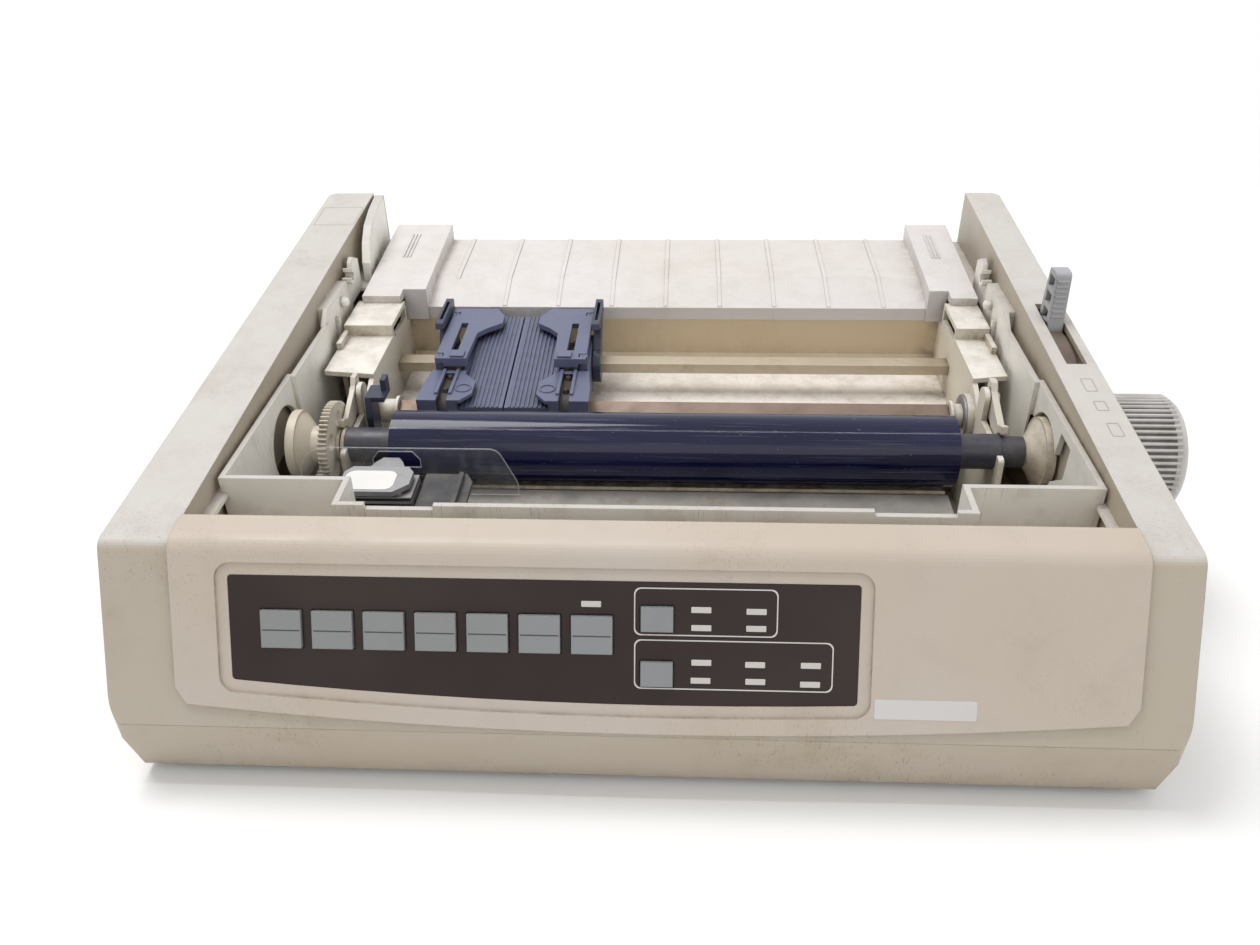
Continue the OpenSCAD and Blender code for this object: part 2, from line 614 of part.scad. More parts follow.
module paper_table() color("#e0dacb") difference() {
    table_moulding();
    box(open_x, [y_rear - wall - case_gap, y_rear + cut], [0, table_seat_z]);
}

module table_moulding() {
    along_x(table_x) polygon(table_outline(0, table_t));
    box(table_x, [table_y[0], table_y[0] + 2], [table_z[0] - table_lip, table_z[0] - table_t + 0.1]);
    for (i = [0:rib_count - 1]) {
        x = (table_x[0] + table_x[1]) / 2 - 5 + (i - (rib_count - 1) / 2) * rib_pitch;
        along_x([x - rib_w / 2, x + rib_w / 2]) polygon([[table_y[1] - 3, table_z[1] - 1], [table_y[1] - 2, table_z[1] + rib_h - 0.4],
            [table_y[1], table_z[1] + rib_h], [y_rear, table_z[2] + rib_h], [y_rear, table_z[2] - 0.1]]);
    }
    // Blocks beside the table: the inner part drops to the lip, the outer part stands on the pads
    table_block([left_block_x[1], table_x[0]], table_y[0] - 1.5, table_z[0] - table_lip);
    table_block(left_block_x, pad_y[1], pad_z);
    table_block([table_x[1], right_block_x[0]], table_y[0] - 1.5, table_z[0] - table_lip);
    table_block(right_block_x, pad_y[1], pad_z);
    for (x = [left_block_x, right_block_x]) box(x, [y_rear - table_t, y_rear], [table_seat_z, pad_z]);
    // Short bars on the blocks
    for (x = [left_block_x[0] + 12, right_block_x[1] - 16], i = [0:2]) along_x([x + 2 * i, x + 2 * i + 0.9])
        polygon([for (p = [[y_rear - 44, -0.1], [y_rear - 44, 0.5], [y_rear - 14, 0.5], [y_rear - 14, -0.1]]) [p.x, block_top(p.x) + p.y]]);
}

// ---- Frames ----
shaft_boss_r = 9;
journal_r = 4;
lug_at = platen_at + [27, 12.5];                // pivot of the platen latch
lug_r = 5;
latch_pin_r = 2.5;

module frame_wall(x) {
    difference() {
        union() {
            along_x(x) polygon(rounded(
                [[guide_at.x - guide_r - 3, base_z[1]], [guide_at.x - guide_r - 3, guide_at.y + guide_r + 4],
                 [platen_at.x - 14, guide_at.y + guide_r + 6], [platen_at.x - 12, platen_at.y + 3],
                 [platen_at.x + 14, platen_at.y + 3], [lug_at.x + 2, platen_at.y + 3], [deck_y[0], deck_z - table_t],
                 [pad_y[1] + table_t, deck_z - table_t], [pad_y[1] + table_t, table_z[0] - table_lip],
                 [table_y[0] + 4, table_z[0] - table_lip], [table_y[0] + 4, base_z[1]]],
                [0, 4, 3, 2, 0, 0, 0, 0, 0, 0, 0]));
            rod_x(x, lug_at, lug_r);
            along_x(x) polygon([lug_at + [-lug_r, 0], lug_at + [lug_r, 0], lug_at + [lug_r, -14], lug_at + [-lug_r, -14]]);
        }
        // Cradle of the platen, open at the top
        rod_x([x[0] - cut, x[1] + cut], platen_at, stub_r + run_gap);
        box([x[0] - cut, x[1] + cut], [platen_at.x - stub_r - run_gap, platen_at.x + stub_r + run_gap], [platen_at.y, platen_at.y + 20]);
        rod_x([x[0] - cut, x[1] + cut], guide_at, guide_r + run_gap);
        rod_x([x[0] - cut, x[1] + cut], shaft_at, journal_r + run_gap);
    }
}

// A disc on the wall at x_wall with a bush that reaches to x_end
module shaft_boss(x_wall, x_end) {
    out = x_end > x_wall ? 1 : -1;
    function span(a, b) = [min(a, b), max(a, b)];
    difference() {
        union() {
            rod_x(span(x_wall, x_wall + 3 * out), shaft_at, shaft_boss_r + 2);
            rod_x(span(x_wall, x_end), shaft_at, journal_r + 2);
            rod_x(span(x_end - 1.5 * out, x_end), shaft_at, journal_r + 3.5);
        }
        rod_x(span(x_wall - cut * out, x_end + cut * out), shaft_at, journal_r + run_gap);
    }
}

// The platform and the pad beside the bay, from the wall out to x_out
module deck(x_in, x_out) {
    x = [min(x_in, x_out), max(x_in, x_out)];
    translate([0, 0, deck_z - table_t]) linear_extrude(table_t)
        polygon([[x_in, deck_y[0]], [x_out, deck_y[0] + 3], [x_out, deck_y[1] + 1], [x_in, deck_y[1] + 1]]);
    box(x, [pad_y[0], pad_y[0] + table_t], [deck_z - table_t, pad_z]);
    box(x, [pad_y[0], pad_y[1] + table_t], [pad_z - table_t, pad_z]);
    leg = x_in > x_out ? [x_out, x_out + frame_t] : [x_out - frame_t, x_out];
    box(leg, [deck_y[0] + 26, pad_y[1] + table_t], [base_z[1], pad_z - table_t]);
    box([min(x_in, x_out), max(x_in, x_out)], [pad_y[1], pad_y[1] + table_t], [deck_z - table_t, pad_z - table_t + 0.1]);
}

module left_frame() color("#d9d1bd") {
    difference() {
        frame_wall(left_wall);
        rod_x([left_wall[0] - cut, left_wall[1] + cut], motor_at, 6);
    }
    shaft_boss(bay_x[0], bay_x[0] + 12);
    deck(bay_x[0], deck_out[0]);
    // Studs of the two idlers and of the reduction gear
    for (at = [idler_1_at, idler_2_at]) rod_x([gear_x[0] - 1, left_wall[0]], at, stud_r);
    rod_x([reduction_x[0] - 1, left_wall[0]], reduction_at, stud_r);
    rod_x([left_wall[0] - 4, left_wall[0]], lug_at, latch_pin_r);
    rod_x([bay_x[0], gap_lever_x[1] + 0.5], gap_lever_at, stud_r);
}

module right_frame() color("#d9d1bd") {
    frame_wall(right_wall);
    shaft_boss(bay_x[1], bay_x[1] - 10);
    deck(bay_x[1], deck_out[1]);
    rod_x([right_wall[1], right_wall[1] + 5], lug_at, latch_pin_r);
}

bed_z = [53.4, 55];
bed_y = [-72, -50];
guide_x = [platen_span[0] + 4.5, platen_span[1] - 3.5];

module mechanism_base() color("#9c9a94") {
    difference() {
        box(base_x, base_y, base_z);
        for (p = post_at) rod_z([base_z[0] - cut, base_z[1] + cut], p, screw_r);
        for (x = [-100, -20, 60]) translate([0, 0, base_z[0] - cut]) linear_extrude(base_z[1] - base_z[0] + 2 * cut)
            rounded_rect([x, x + 50], [-30, 60], 8);
    }
    // Bed in front of the platen
    box(guide_x, [bed_y[1] - 1.6, bed_y[1]], [base_z[1], bed_z[1]]);
    box(guide_x, [bed_y[0], bed_y[1]], bed_z);
    // Bracket of the space motor, and bracket and pin of the idler pulley
    difference() {
        box([pulley_x[1] - motor_r - 1, pulley_x[1] + motor_r + 1], bracket_y, [base_z[1], pulley_z + motor_r + 1]);
        rod_y([bracket_y[0] - cut, bracket_y[1] + cut], [pulley_x[1], pulley_z], 7);
    }
    box([pulley_x[0] - 7, pulley_x[0] + 7], bracket_y, [base_z[1], pulley_z + 6]);
    rod_y([bracket_y[1], belt_y[1] + 1.2], [pulley_x[0], pulley_z], stud_r);
}

roller_r = 5;
roller_at = platen_at + polar(platen_r + roller_r + 0.3, -50);
roller_l = 22;
roller_x = [for (i = [0:3]) guide_x[0] + 18 + i * (guide_x[1] - guide_x[0] - 36 - roller_l) / 3];
under_r = [platen_r + 2, platen_r + 3.6];       // guide under the platen
floor_y = 14;

module paper_chute() color("#cfc6b0") {
    along_x(bay_x) polygon([[table_y[0], table_z[0] - table_lip], [table_y[0], 52], [87, 46.5], [floor_y - 1, 45],
                            [floor_y - 1, 43], [88, 44.5], [table_y[0] + 2, 51], [table_y[0] + 2, table_z[0] - table_lip]]);
    difference() {
        along_x(guide_x) union() {
            polygon([[floor_y, 45], [-10, 42.5], [-34, 42.5], [-34, 40.5], [-10, 40.5], [floor_y, 43]]);
            polygon([[-34, 42], [-34, 49], [-32, 49], [-32, 42]]);
            polygon(concat([for (a = [-130:5:-15]) platen_at + polar(under_r[1], a)],
                           [for (a = [-15:-5:-130]) platen_at + polar(under_r[0], a)]));
        }
        for (x = roller_x) rod_x([x - 1, x + roller_l + 1], roller_at, roller_r + 1);
        rod_x([guide_x[0] - cut, guide_x[1] + cut], roller_at, 3);
    }
    // Cheeks that carry the pressure roller shaft
    for (x = [guide_x[0], guide_x[1] - 2]) difference() {
        along_x([x, x + 2]) polygon([[-30, 42], [-30, 47], roller_at + [-5, 4], roller_at + [5, 4], [-8, 42]]);
        rod_x([x - cut, x + 2 + cut], roller_at, 2 + run_gap);
        rod_x([x - cut, x + 2 + cut], platen_at, under_r[0]);
    }
}

module pressure_rollers() color("#33322f") {
    rod_x([guide_x[0] - 1, guide_x[1] + 1], roller_at, 2);
    for (x = roller_x) rod_x([x, x + roller_l], roller_at, roller_r);
}

module tractor_rail() color("#cdbfa6") {
    box(bay_x, [rail_at.x - rail_w / 2, rail_at.x + rail_w / 2], [rail_at.y - rail_h / 2, rail_at.y + rail_h / 2]);
}

// ---- Platen ----
core_r = platen_r - rubber_t;
spindle_r = 4;
hub_out_r = 16;                                 // flange of the platen's right hub
hub_left = 16.5;                                   // length of the platen gear's hub
knob_in_x = x_right + 1.5;
knob_end_x = x_right + knob_out;

module platen_roller() color("#1d2350") {
    difference() {
        rod_x(platen_span, platen_at, platen_r);
        rod_x([platen_span[0] - cut, platen_span[1] + cut], platen_at, core_r);
    }
}

module platen_shaft() color("#4a4a50") {
    rod_x(platen_span, platen_at, core_r);
    rod_x([left_wall[0] - 1, right_wall[1]], platen_at, stub_r);
    rod_x([right_wall[1], right_wall[1] + 11], platen_at, stub_r - 1);
    rod_x([gear_x[0] - hub_left - 1, left_wall[0] - 1], platen_at, spindle_r);
    translate([right_wall[1] + 11, platen_at.x, platen_at.y]) rotate([0, 90, 0]) cylinder(r1 = spindle_r + 2, r2 = hub_out_r - 1, h = 6);
    rod_x([right_wall[1] + 16.9, right_wall[1] + 21], platen_at, hub_out_r);
    rod_x([right_wall[1] + 21, knob_end_x - 8], platen_at, spindle_r);
}

module platen_knob() color("#a9aaab") {
    r_in = knob_r - 1.2;
    difference() {
        union() {
            translate([knob_in_x, platen_at.x, platen_at.y]) rotate([90, 0, 90]) linear_extrude(knob_out - 5)
                polygon([for (i = [0:4 * knob_flutes - 1]) polar(i % 4 < 2 ? knob_r : r_in, 90 * i / knob_flutes)]);
            translate([knob_in_x + knob_out - 5, platen_at.x, platen_at.y]) rotate([0, 90, 0]) rotate_extrude()
                polygon(rounded([[0, 0], [r_in, 0], [r_in, 3.5], [0, 3.5]], [0, 0, 3, 0]));
        }
        rod_x([knob_in_x - cut, knob_in_x + knob_out - 10], platen_at, knob_r - 3.5);
    }
    difference() {
        rod_x([knob_in_x, knob_in_x + knob_out - 9], platen_at, spindle_r + 4);
        rod_x([knob_in_x - cut, knob_end_x - 8], platen_at, spindle_r);
    }
}

// ---- Gears ----
function involute(a) = tan(a) * 180 / PI - a;
// Half the angle that a tooth takes up at radius r
function tooth_half(n, r) =
    let (rp = gear_m * n / 2, rb = rp * cos(pressure_a))
    90 / n - backlash / 4 / rp * 180 / PI + involute(pressure_a) - involute(acos(min(1, rb / r)));

module spur(n, phase) {
    rp = gear_m * n / 2;
    radii = [rp - 1.2 * gear_m, rp - 0.4 * gear_m, rp + 0.3 * gear_m, rp + 0.9 * gear_m];
    last = len(radii) - 1;
    polygon([for (i = [0:n - 1]) each concat(
        [for (k = [0:last]) polar(radii[k], phase + 360 * i / n - tooth_half(n, radii[k]))],
        [for (k = [last:-1:0]) polar(radii[k], phase + 360 * i / n + tooth_half(n, radii[k]))])]);
}

// A spur gear at (y, z), with a bore and a ring of holes in its web
module gear(x, at, n, phase, bore, holes = 0) {
    rp = gear_m * n / 2;
    difference() {
        translate([x[0], at.x, at.y]) rotate([90, 0, 90]) linear_extrude(x[1] - x[0]) spur(n, phase);
        rod_x([x[0] - cut, x[1] + cut], at, bore);
        if (holes > 0) for (i = [0:holes - 1])
            rod_x([x[0] - cut, x[1] + cut], at + polar((rp + bore) / 2 + 0.5, 360 * i / holes), (rp - bore) / 4);
    }
}

module platen_gear() color("#ded5bd") {
    gear(gear_x, platen_at, platen_teeth, 0, spindle_r, 5);
    difference() {
        union() {
            rod_x([gear_x[1], gear_x[1] + 1.5], platen_at, spindle_r + 3);
            rod_x([gear_x[0] - hub_left + 8, gear_x[0]], platen_at, spindle_r + 4.5);
            translate([gear_x[0] - hub_left + 4, platen_at.x, platen_at.y]) rotate([0, 90, 0])
                cylinder(r1 = hub_out_r - 1, r2 = spindle_r + 4.5, h = 5);
            rod_x([gear_x[0] - hub_left, gear_x[0] - hub_left + 4.1], platen_at, hub_out_r);
        }
        rod_x([gear_x[0] - hub_left - cut, gear_x[1] + 1.5 + cut], platen_at, spindle_r);
    }
}

module idler_gear_1() color("#d8d6cf") gear(gear_x, idler_1_at, idler_teeth, idler_1_phase, stud_r + run_gap);
module idler_gear_2() color("#d8d6cf") gear(gear_x, idler_2_at, idler_teeth, idler_2_phase, stud_r + run_gap);

module reduction_gear() color("#d8d6cf") {
    gear(gear_x, reduction_at, reduction_pinion_teeth, reduction_phase, stud_r + run_gap);
    difference() {
        rod_x([reduction_x[1], gear_x[0]], reduction_at, stud_r + 2.5);
        rod_x([reduction_x[1] - cut, gear_x[0] + cut], reduction_at, stud_r + run_gap);
    }
    gear(reduction_x, reduction_at, reduction_teeth, reduction_phase, stud_r + run_gap, 6);
}

motor_shaft_r = 1.5;
module line_feed_motor() color("#6d6f72") {
    difference() {
        union() {
            rod_x([bay_x[0], bay_x[0] + 19], motor_at, motor_r);
            rod_x([bay_x[0] - frame_t - 0.5, bay_x[0]], motor_at, 5);
        }
        rod_x([bay_x[0] - frame_t - cut, bay_x[0] + 10], motor_at, motor_shaft_r + run_gap);
    }
}

module motor_pinion() color("#b98d3e") {
    gear(reduction_x, motor_at, motor_teeth, motor_phase, motor_shaft_r);
    rod_x([reduction_x[0] - 0.5, bay_x[0] + 9], motor_at, motor_shaft_r);
}

module tractor_drive_shaft() color("#8b7d72") {
    translate([bay_x[0] + 12.5, shaft_at.x, shaft_at.y]) rotate([drive_turn, 0, 0])
        translate([0, -drive_shaft_w / 2, -drive_shaft_w / 2]) cube([bay_x[1] - bay_x[0] - 23, drive_shaft_w, drive_shaft_w]);
    rod_x([gear_x[0] - 1, bay_x[0] + 12.5], shaft_at, journal_r);
    rod_x([bay_x[1] - 10.5, right_wall[1] + 1.5], shaft_at, journal_r);
    gear(gear_x, shaft_at, tractor_teeth, tractor_phase, journal_r);
}

// ---- Tractors, drawn from their outer side inward, with the paper to the right ----
module stadium(r) {
    rod_place = [shaft_at, rail_at];
    for (p = rod_place) translate(p) circle(r);
    translate([shaft_at.x, shaft_at.y - r]) square([belt_reach, 2 * r]);
}

module rail_hole(x) box([x[0] - cut, x[1] + cut], [rail_at.x - rail_w / 2 - run_gap, rail_at.x + rail_w / 2 + run_gap],
                        [rail_at.y - rail_h / 2 - run_gap, rail_at.y + rail_h / 2 + run_gap]);

frame_top_z = 73;
wing_z = [frame_top_z, frame_top_z + 1.8];
hub_r = 7.5;
lid_lugs = [[30, 33], [78, 81]];
pin_slot = [belt_in - 2.6, belt_in + 2.6];

module tractor_plate(x) along_x(x)
    polygon(rounded([[tractor_y[0], tractor_bottom_z + 6], [tractor_y[0], frame_top_z + 0.1], [tractor_y[1], frame_top_z + 0.1],
                     [tractor_y[1], tractor_bottom_z]], [14, 0, 5, 14]));

module tractor_frame() {
    difference() {
        union() {
            tractor_plate(outer_plate);
            tractor_plate(inner_plate);
            // Shoe inside the belt, from plate to plate, and the collar of the lock lever
            along_x([outer_plate[1] - 0.1, inner_plate[0] + 0.1]) difference() {
                stadium(sprocket_r - 0.4);
                translate(shaft_at) circle(sprocket_r + 3);
                translate([shaft_at.x - 20, shaft_at.y - 20]) square([20, 40]);
            }
            rod_x([lock_x[0], outer_plate[0] + 0.1], rail_at, lock_collar_r);
            // Front plate that the paper runs over, with its wing towards the paper
            translate([0, 0, wing_z[0]]) linear_extrude(wing_z[1] - wing_z[0])
                polygon([[2, tractor_y[0]], [23, tractor_y[0]], [tractor_w, 3], [tractor_w, 15], [inner_plate[1], 23],
                         [inner_plate[1], lid_y[0] - 1], [4, lid_y[0] - 1], [2, 8]]);
            box([2, inner_plate[1]], [tractor_y[0], tractor_y[0] + 1.2], [frame_top_z - 6, wing_z[1]]);
            // Rails of the belt's slot, and the ring mark on the wing
            for (x = [pin_slot[0] - 1.6, pin_slot[1]]) box([x, x + 1.6], [2, lid_y[0] - 1], [wing_z[0], wing_z[1] + 0.9]);
            translate([0, 0, wing_z[1] - 0.1]) linear_extrude(0.5) translate([23, 8]) difference() {
                circle(4);
                circle(3.3);
            }
            // Lugs of the lid's hinge
            for (y = lid_lugs) along_y(y) polygon([[outer_plate[0], frame_top_z - 1], [outer_plate[0], lid_hinge.y + 1.3],
                [lid_hinge.x + 1.8, lid_hinge.y + 1.3], [lid_hinge.x + 1.8, frame_top_z - 1]]);
        }
        box(pin_slot, [tractor_y[0] - cut, lid_y[0] - 4], [frame_top_z - 8, wing_z[1] + 2]);
        for (x = [outer_plate, inner_plate]) rod_x([x[0] - cut, x[1] + cut], shaft_at, hub_r + run_gap);
        rail_hole([lock_x[0], inner_plate[1]]);
        for (y = lid_lugs) rod_y([y[0] - cut, y[1] + cut], lid_hinge, hinge_r + run_gap);
    }
}

module tractor_lid() {
    difference() {
        union() {
            translate([0, 0, lid_z[0]]) linear_extrude(lid_z[1] - lid_z[0])
                polygon([[outer_plate[0] + 0.5, lid_y[0]], [inner_plate[1], lid_y[0]], [inner_plate[1] + 1, 56],
                         [27, 62], [34, 68], [34, 77], [29, lid_y[1]], [outer_plate[0] + 0.5, lid_y[1]]]);
            // Thick front end and the lip on the paper's side
            box([outer_plate[0] + 4.5, inner_plate[1]], [lid_y[0], lid_y[0] + 4], [lid_z[0] - 2, lid_z[0] + 0.1]);
            box([13, 20], [lid_y[0] + 1, lid_y[0] + 7], [lid_z[1] - 0.1, lid_z[1] + 1]);
            for (y = lid_lugs) rod_y([y[0] - 2, y[1] + 2], lid_hinge, hinge_r);
        }
        box([belt_in - 1.8, belt_in + 1.8], [37, 68], [lid_z[0] - cut, lid_z[1] + cut]);
        for (y = lid_lugs) difference() {
            box([outer_plate[0], lid_hinge.x + 2.3], [y[0] - free_gap, y[1] + free_gap], [lid_z[0] - cut, lid_z[1] + cut]);
            rod_y([y[0] - 2, y[1] + 2], lid_hinge, hinge_r);
        }
    }
}

// Angle of each pin round a bend, and its place along a straight
pin_turn = 360 / sprocket_pins;
module belt_pin(at, a) translate([belt_in, at.x, at.y]) rotate([a - 90, 0, 0]) translate([0, 0, sprocket_r + pin_belt_t - 0.1])
    cylinder(r1 = pin_r, r2 = pin_r * 0.65, h = pin_h, $fn = 16);

module pin_belt() {
    along_x([belt_in - pin_belt_w / 2, belt_in + pin_belt_w / 2]) difference() {
        stadium(sprocket_r + pin_belt_t);
        stadium(sprocket_r);
    }
    for (i = [0:4]) belt_pin(shaft_at + [i * pin_pitch, 0], 90);
    for (i = [1:2]) belt_pin(rail_at, 90 - i * pin_turn);
    for (i = [0:3]) belt_pin(rail_at - [(i + 0.5) * pin_pitch, 0], -90);
    for (i = [0:1]) belt_pin(shaft_at, -90 - (i + 0.5) * pin_turn);
}

module sprocket() {
    difference() {
        union() {
            rod_x([outer_plate[0], inner_plate[1]], shaft_at, hub_r);
            rod_x([outer_plate[1] + 1, inner_plate[0] - 1], shaft_at, sprocket_r - 0.4);
        }
        // Notches round the rim that the belt's pins seat in
        for (i = [0:sprocket_pins - 1]) translate([belt_in, shaft_at.x, shaft_at.y]) rotate([i * pin_turn + 36, 0, 0])
            translate([-5, -1.5, sprocket_r - 1.9]) cube([10, 3, 3]);
        translate([0, shaft_at.x, shaft_at.y]) rotate([drive_turn, 0, 0])
            translate([-cut, -drive_shaft_w / 2 - run_gap, -drive_shaft_w / 2 - run_gap])
            cube([tractor_w, drive_shaft_w + 2 * run_gap, drive_shaft_w + 2 * run_gap]);
    }
}

module lock_lever() {
    difference() {
        union() {
            rod_x(lock_x, rail_at, lock_r);
            along_x(lock_x) polygon([rail_at + [-2, 8], rail_at + [9, 3], [80, 79], [88, 80.5], [88, 86], [57, 86], [56, 83], [66, 80]]);
        }
        rod_x([lock_x[0] - cut, lock_x[1] + cut], rail_at, lock_collar_r + run_gap);
        box([lock_x[0] + 1.2, lock_x[1] - 1.2], [62, 84], [82.5, 86 + cut]);
    }
}

support_z = [69.8, 77];
support_y = [-2, 84];
support_x = [inner_plate[1], tractor_w + support_w];
support_rib_pitch = 2.2;
function support_top(y) = support_z[0] + (y - support_y[0]) * (support_z[1] - support_z[0]) / (support_y[1] - support_y[0]);
module paper_support() {
    along_x(support_x) polygon([[support_y[0], support_z[0] - 1.8], [support_y[0], support_z[0]], [support_y[1], support_z[1]],
                                [support_y[1] + 3, support_z[1] - 5], [support_y[1] + 1, support_z[1] - 5], [support_y[1] - 1, support_z[1] - 1.8]]);
    for (x = [support_x[0] + 1.2:support_rib_pitch:support_x[1] - 1]) along_x([x, x + 0.9])
        polygon([[support_y[0], support_z[0] - 0.1], [support_y[0], support_z[0] + 0.5], [support_y[1], support_z[1] + 0.5],
                 [support_y[1], support_z[1] - 0.1]]);
    // Webs that ride on the rail
    difference() {
        for (x = [support_x[0], support_x[1] - 2.4]) along_x([x, x + 2.4])
            polygon([rail_at + [-9, -6], rail_at + [9, -6], [74, support_top(74) - 1], [28, support_top(28) - 1]]);
        rail_hole(support_x);
    }
}

module left_side() translate([left_tractor_x, 0, 0]) children();
module right_side() translate([right_tractor_x + tractor_w, 0, 0]) mirror([1, 0, 0]) children();

// ---- Carriage ----
nose_x = [(head_x[0] + head_x[1]) / 2 - 6, (head_x[0] + head_x[1]) / 2 + 6];
shield_y = [-55.2, -54.6];
shield_left = 25;                               // reach of the clear shield to the left of the carriage
deck_plate_z = [bed_z[1] + 0.4, bed_z[1] + 3];
clamp_x = [carriage_x[0] + 12.5, carriage_x[0] + 24.5];
mask_x = [carriage_x[1] - 2.5, carriage_x[1] + 19];

module guide_shaft() color("#b8bcc0") rod_x([left_wall[0] - 2, right_wall[1] + 2], guide_at, guide_r);

module carriage() color("#4a4f58") {
    difference() {
        union() {
            along_x(carriage_x) polygon(rounded([[-94, 28], [-94, deck_plate_z[1]], [shield_y[0], deck_plate_z[1]],
                [shield_y[0], deck_plate_z[0]], [bed_y[0] - 2, deck_plate_z[0]], [bed_y[0] - 2, 28]], [4, 2, 0, 0, 1, 4]));
            // Clamp round the upper run of the belt
            box(clamp_x, [belt_y[0] - 1.3, -93.9], [pulley_z + pulley_r - 1.5, pulley_z + pulley_r + belt_t + 1.5]);
            // Ribbon mask holder on the right
            box([mask_x[0], mask_x[0] + 2.5], [-90, -60], [deck_plate_z[0], 70]);
            translate([0, 0, 68.5]) linear_extrude(1.5)
                polygon([[mask_x[0], -90], [mask_x[0], -60], [mask_x[1] - 3, -60], [mask_x[1], -66], [mask_x[1], -90]]);
            box([mask_x[1] - 6, mask_x[1] - 4], [-90, -62], [69.9, 72.5]);
        }
        rod_x([carriage_x[0] - cut, carriage_x[1] + cut], guide_at, guide_r + run_gap);
        box([clamp_x[0] - cut, clamp_x[1] + cut], [belt_y[0] - 0.4, belt_y[1] + 0.4],
            [pulley_z + pulley_r - 0.4, pulley_z + pulley_r + belt_t + 0.4]);
        for (x = [carriage_x[0] + 6, carriage_x[1] - 12]) box([x, x + 6], [-86, -66], [deck_plate_z[1] - 1, deck_plate_z[1] + cut]);
    }
}

fin_count = 5;
head_top = 74;                                  // top of the finned body
module print_head() color("#55585c") {
    mid = (head_x[0] + head_x[1]) / 2;
    difference() {
        box([head_x[0], head_x[1] + 1.5], [head_y[0] + 1, head_y[1] - 1], [deck_plate_z[1], head_top]);
        // Gaps between the cooling fins
        for (i = [0:fin_count - 1]) box([head_x[0] - cut, head_x[1] + 4], [head_y[0] - cut, head_y[0] + 16],
            [deck_plate_z[1] + 3 + i * 2.7, deck_plate_z[1] + 4.4 + i * 2.7]);
    }
    box([mid - 12, mid + 12], [head_y[0] + 4, head_y[1] - 0.5], [deck_plate_z[1], head_top]);
    box([mid - 9, mid + 9], [head_y[1] - 1, head_y[1] + 5], [deck_plate_z[1], head_top - 1]);
    // Nose with the wires' guide
    translate([0, 0, 60.5]) linear_extrude(11.5)
        polygon([[mid - 9, head_y[1] + 4.9], [nose_x[0], -54], [nose_x[0] + 2.5, -50.6], [nose_x[1] - 2.5, -50.6], [nose_x[1], -54],
                 [mid + 9, head_y[1] + 4.9]]);
    // Cover plate
    box(inset(head_x, 3), inset(head_y, 2), [head_top - 0.1, head_top + 1.1]);
    translate([0, 0, head_top + 1]) linear_extrude(2.5) polygon([[head_x[0], head_y[0]], [head_x[0], head_y[1] - 4], [head_x[0] + 3, head_y[1]],
        [head_x[1] - 3, head_y[1]], [head_x[1], head_y[1] - 4], [head_x[1], head_y[0] + 6], [head_x[1] - 6, head_y[0]]]);
}

module ribbon_shield() color("#dfe6ea") {
    along_y(shield_y) difference() {
        polygon(rounded([[carriage_x[0] - shield_left, deck_plate_z[0] + 8], [carriage_x[0] - shield_left, 80], [carriage_x[1] + 29, 80],
            [carriage_x[1] + 37, 62], [carriage_x[1] + 37, deck_plate_z[0]], [carriage_x[0] - 6, deck_plate_z[0]]], [0, 14, 6, 8, 0, 0]));
        polygon([[nose_x[0] - 1, 60], [nose_x[0] - 1, 74], [nose_x[0] + 2, 78], [nose_x[1] + 5, 78], [nose_x[1] + 8, 74],
                 [nose_x[1] + 8, 70], [nose_x[1] + 1, 70], [nose_x[1] + 1, 60]]);
    }
}

module pulley(i, bore) difference() {
    union() {
        rod_y([belt_y[0] - 0.2, belt_y[1] + 0.2], [pulley_x[i], pulley_z], pulley_r - 0.3);
        for (y = [belt_y[0] - 1.2, belt_y[1] + 0.2]) rod_y([y, y + 0.8], [pulley_x[i], pulley_z], pulley_flange_r);
    }
    rod_y([belt_y[0] - 2, belt_y[1] + 2], [pulley_x[i], pulley_z], bore);
}

module idler_pulley() color("#e4e1d8") difference() {
    union() {
        pulley(0, stud_r + run_gap);
        difference() {
            rod_y([bracket_y[1] + 0.3, belt_y[0] - 0.4], [pulley_x[0], pulley_z], stud_r + 2);
            rod_y([bracket_y[1], belt_y[0]], [pulley_x[0], pulley_z], stud_r + run_gap);
        }
    }
    rod_y([belt_y[0] - 3, belt_y[1] + 3], [pulley_x[0], pulley_z], stud_r + run_gap);
}

module motor_pulley() color("#e4e1d8") {
    pulley(1, motor_shaft_r);
    rod_y([bracket_y[0] - 10, belt_y[1] + 1], [pulley_x[1], pulley_z], motor_shaft_r);
    difference() {
        rod_y([bracket_y[1] + 0.3, belt_y[0] - 0.4], [pulley_x[1], pulley_z], 4.5);
        rod_y([bracket_y[1], belt_y[0]], [pulley_x[1], pulley_z], motor_shaft_r);
    }
}

module space_motor() color("#6d6f72") difference() {
    union() {
        rod_y([bracket_y[0] - space_motor_l, bracket_y[0]], [pulley_x[1], pulley_z], motor_r);
        rod_y([bracket_y[0], bracket_y[1] - 0.3], [pulley_x[1], pulley_z], 5);
    }
    rod_y([bracket_y[0] - 11, bracket_y[1] + cut], [pulley_x[1], pulley_z], motor_shaft_r + run_gap);
}

module belt_loop(r) {
    for (x = pulley_x) translate([x, pulley_z]) circle(r);
    translate([pulley_x[0], pulley_z - r]) square([pulley_x[1] - pulley_x[0], 2 * r]);
}
module carriage_belt() color("#2a2a2a") along_y(belt_y) difference() {
    belt_loop(pulley_r + belt_t);
    belt_loop(pulley_r);
}

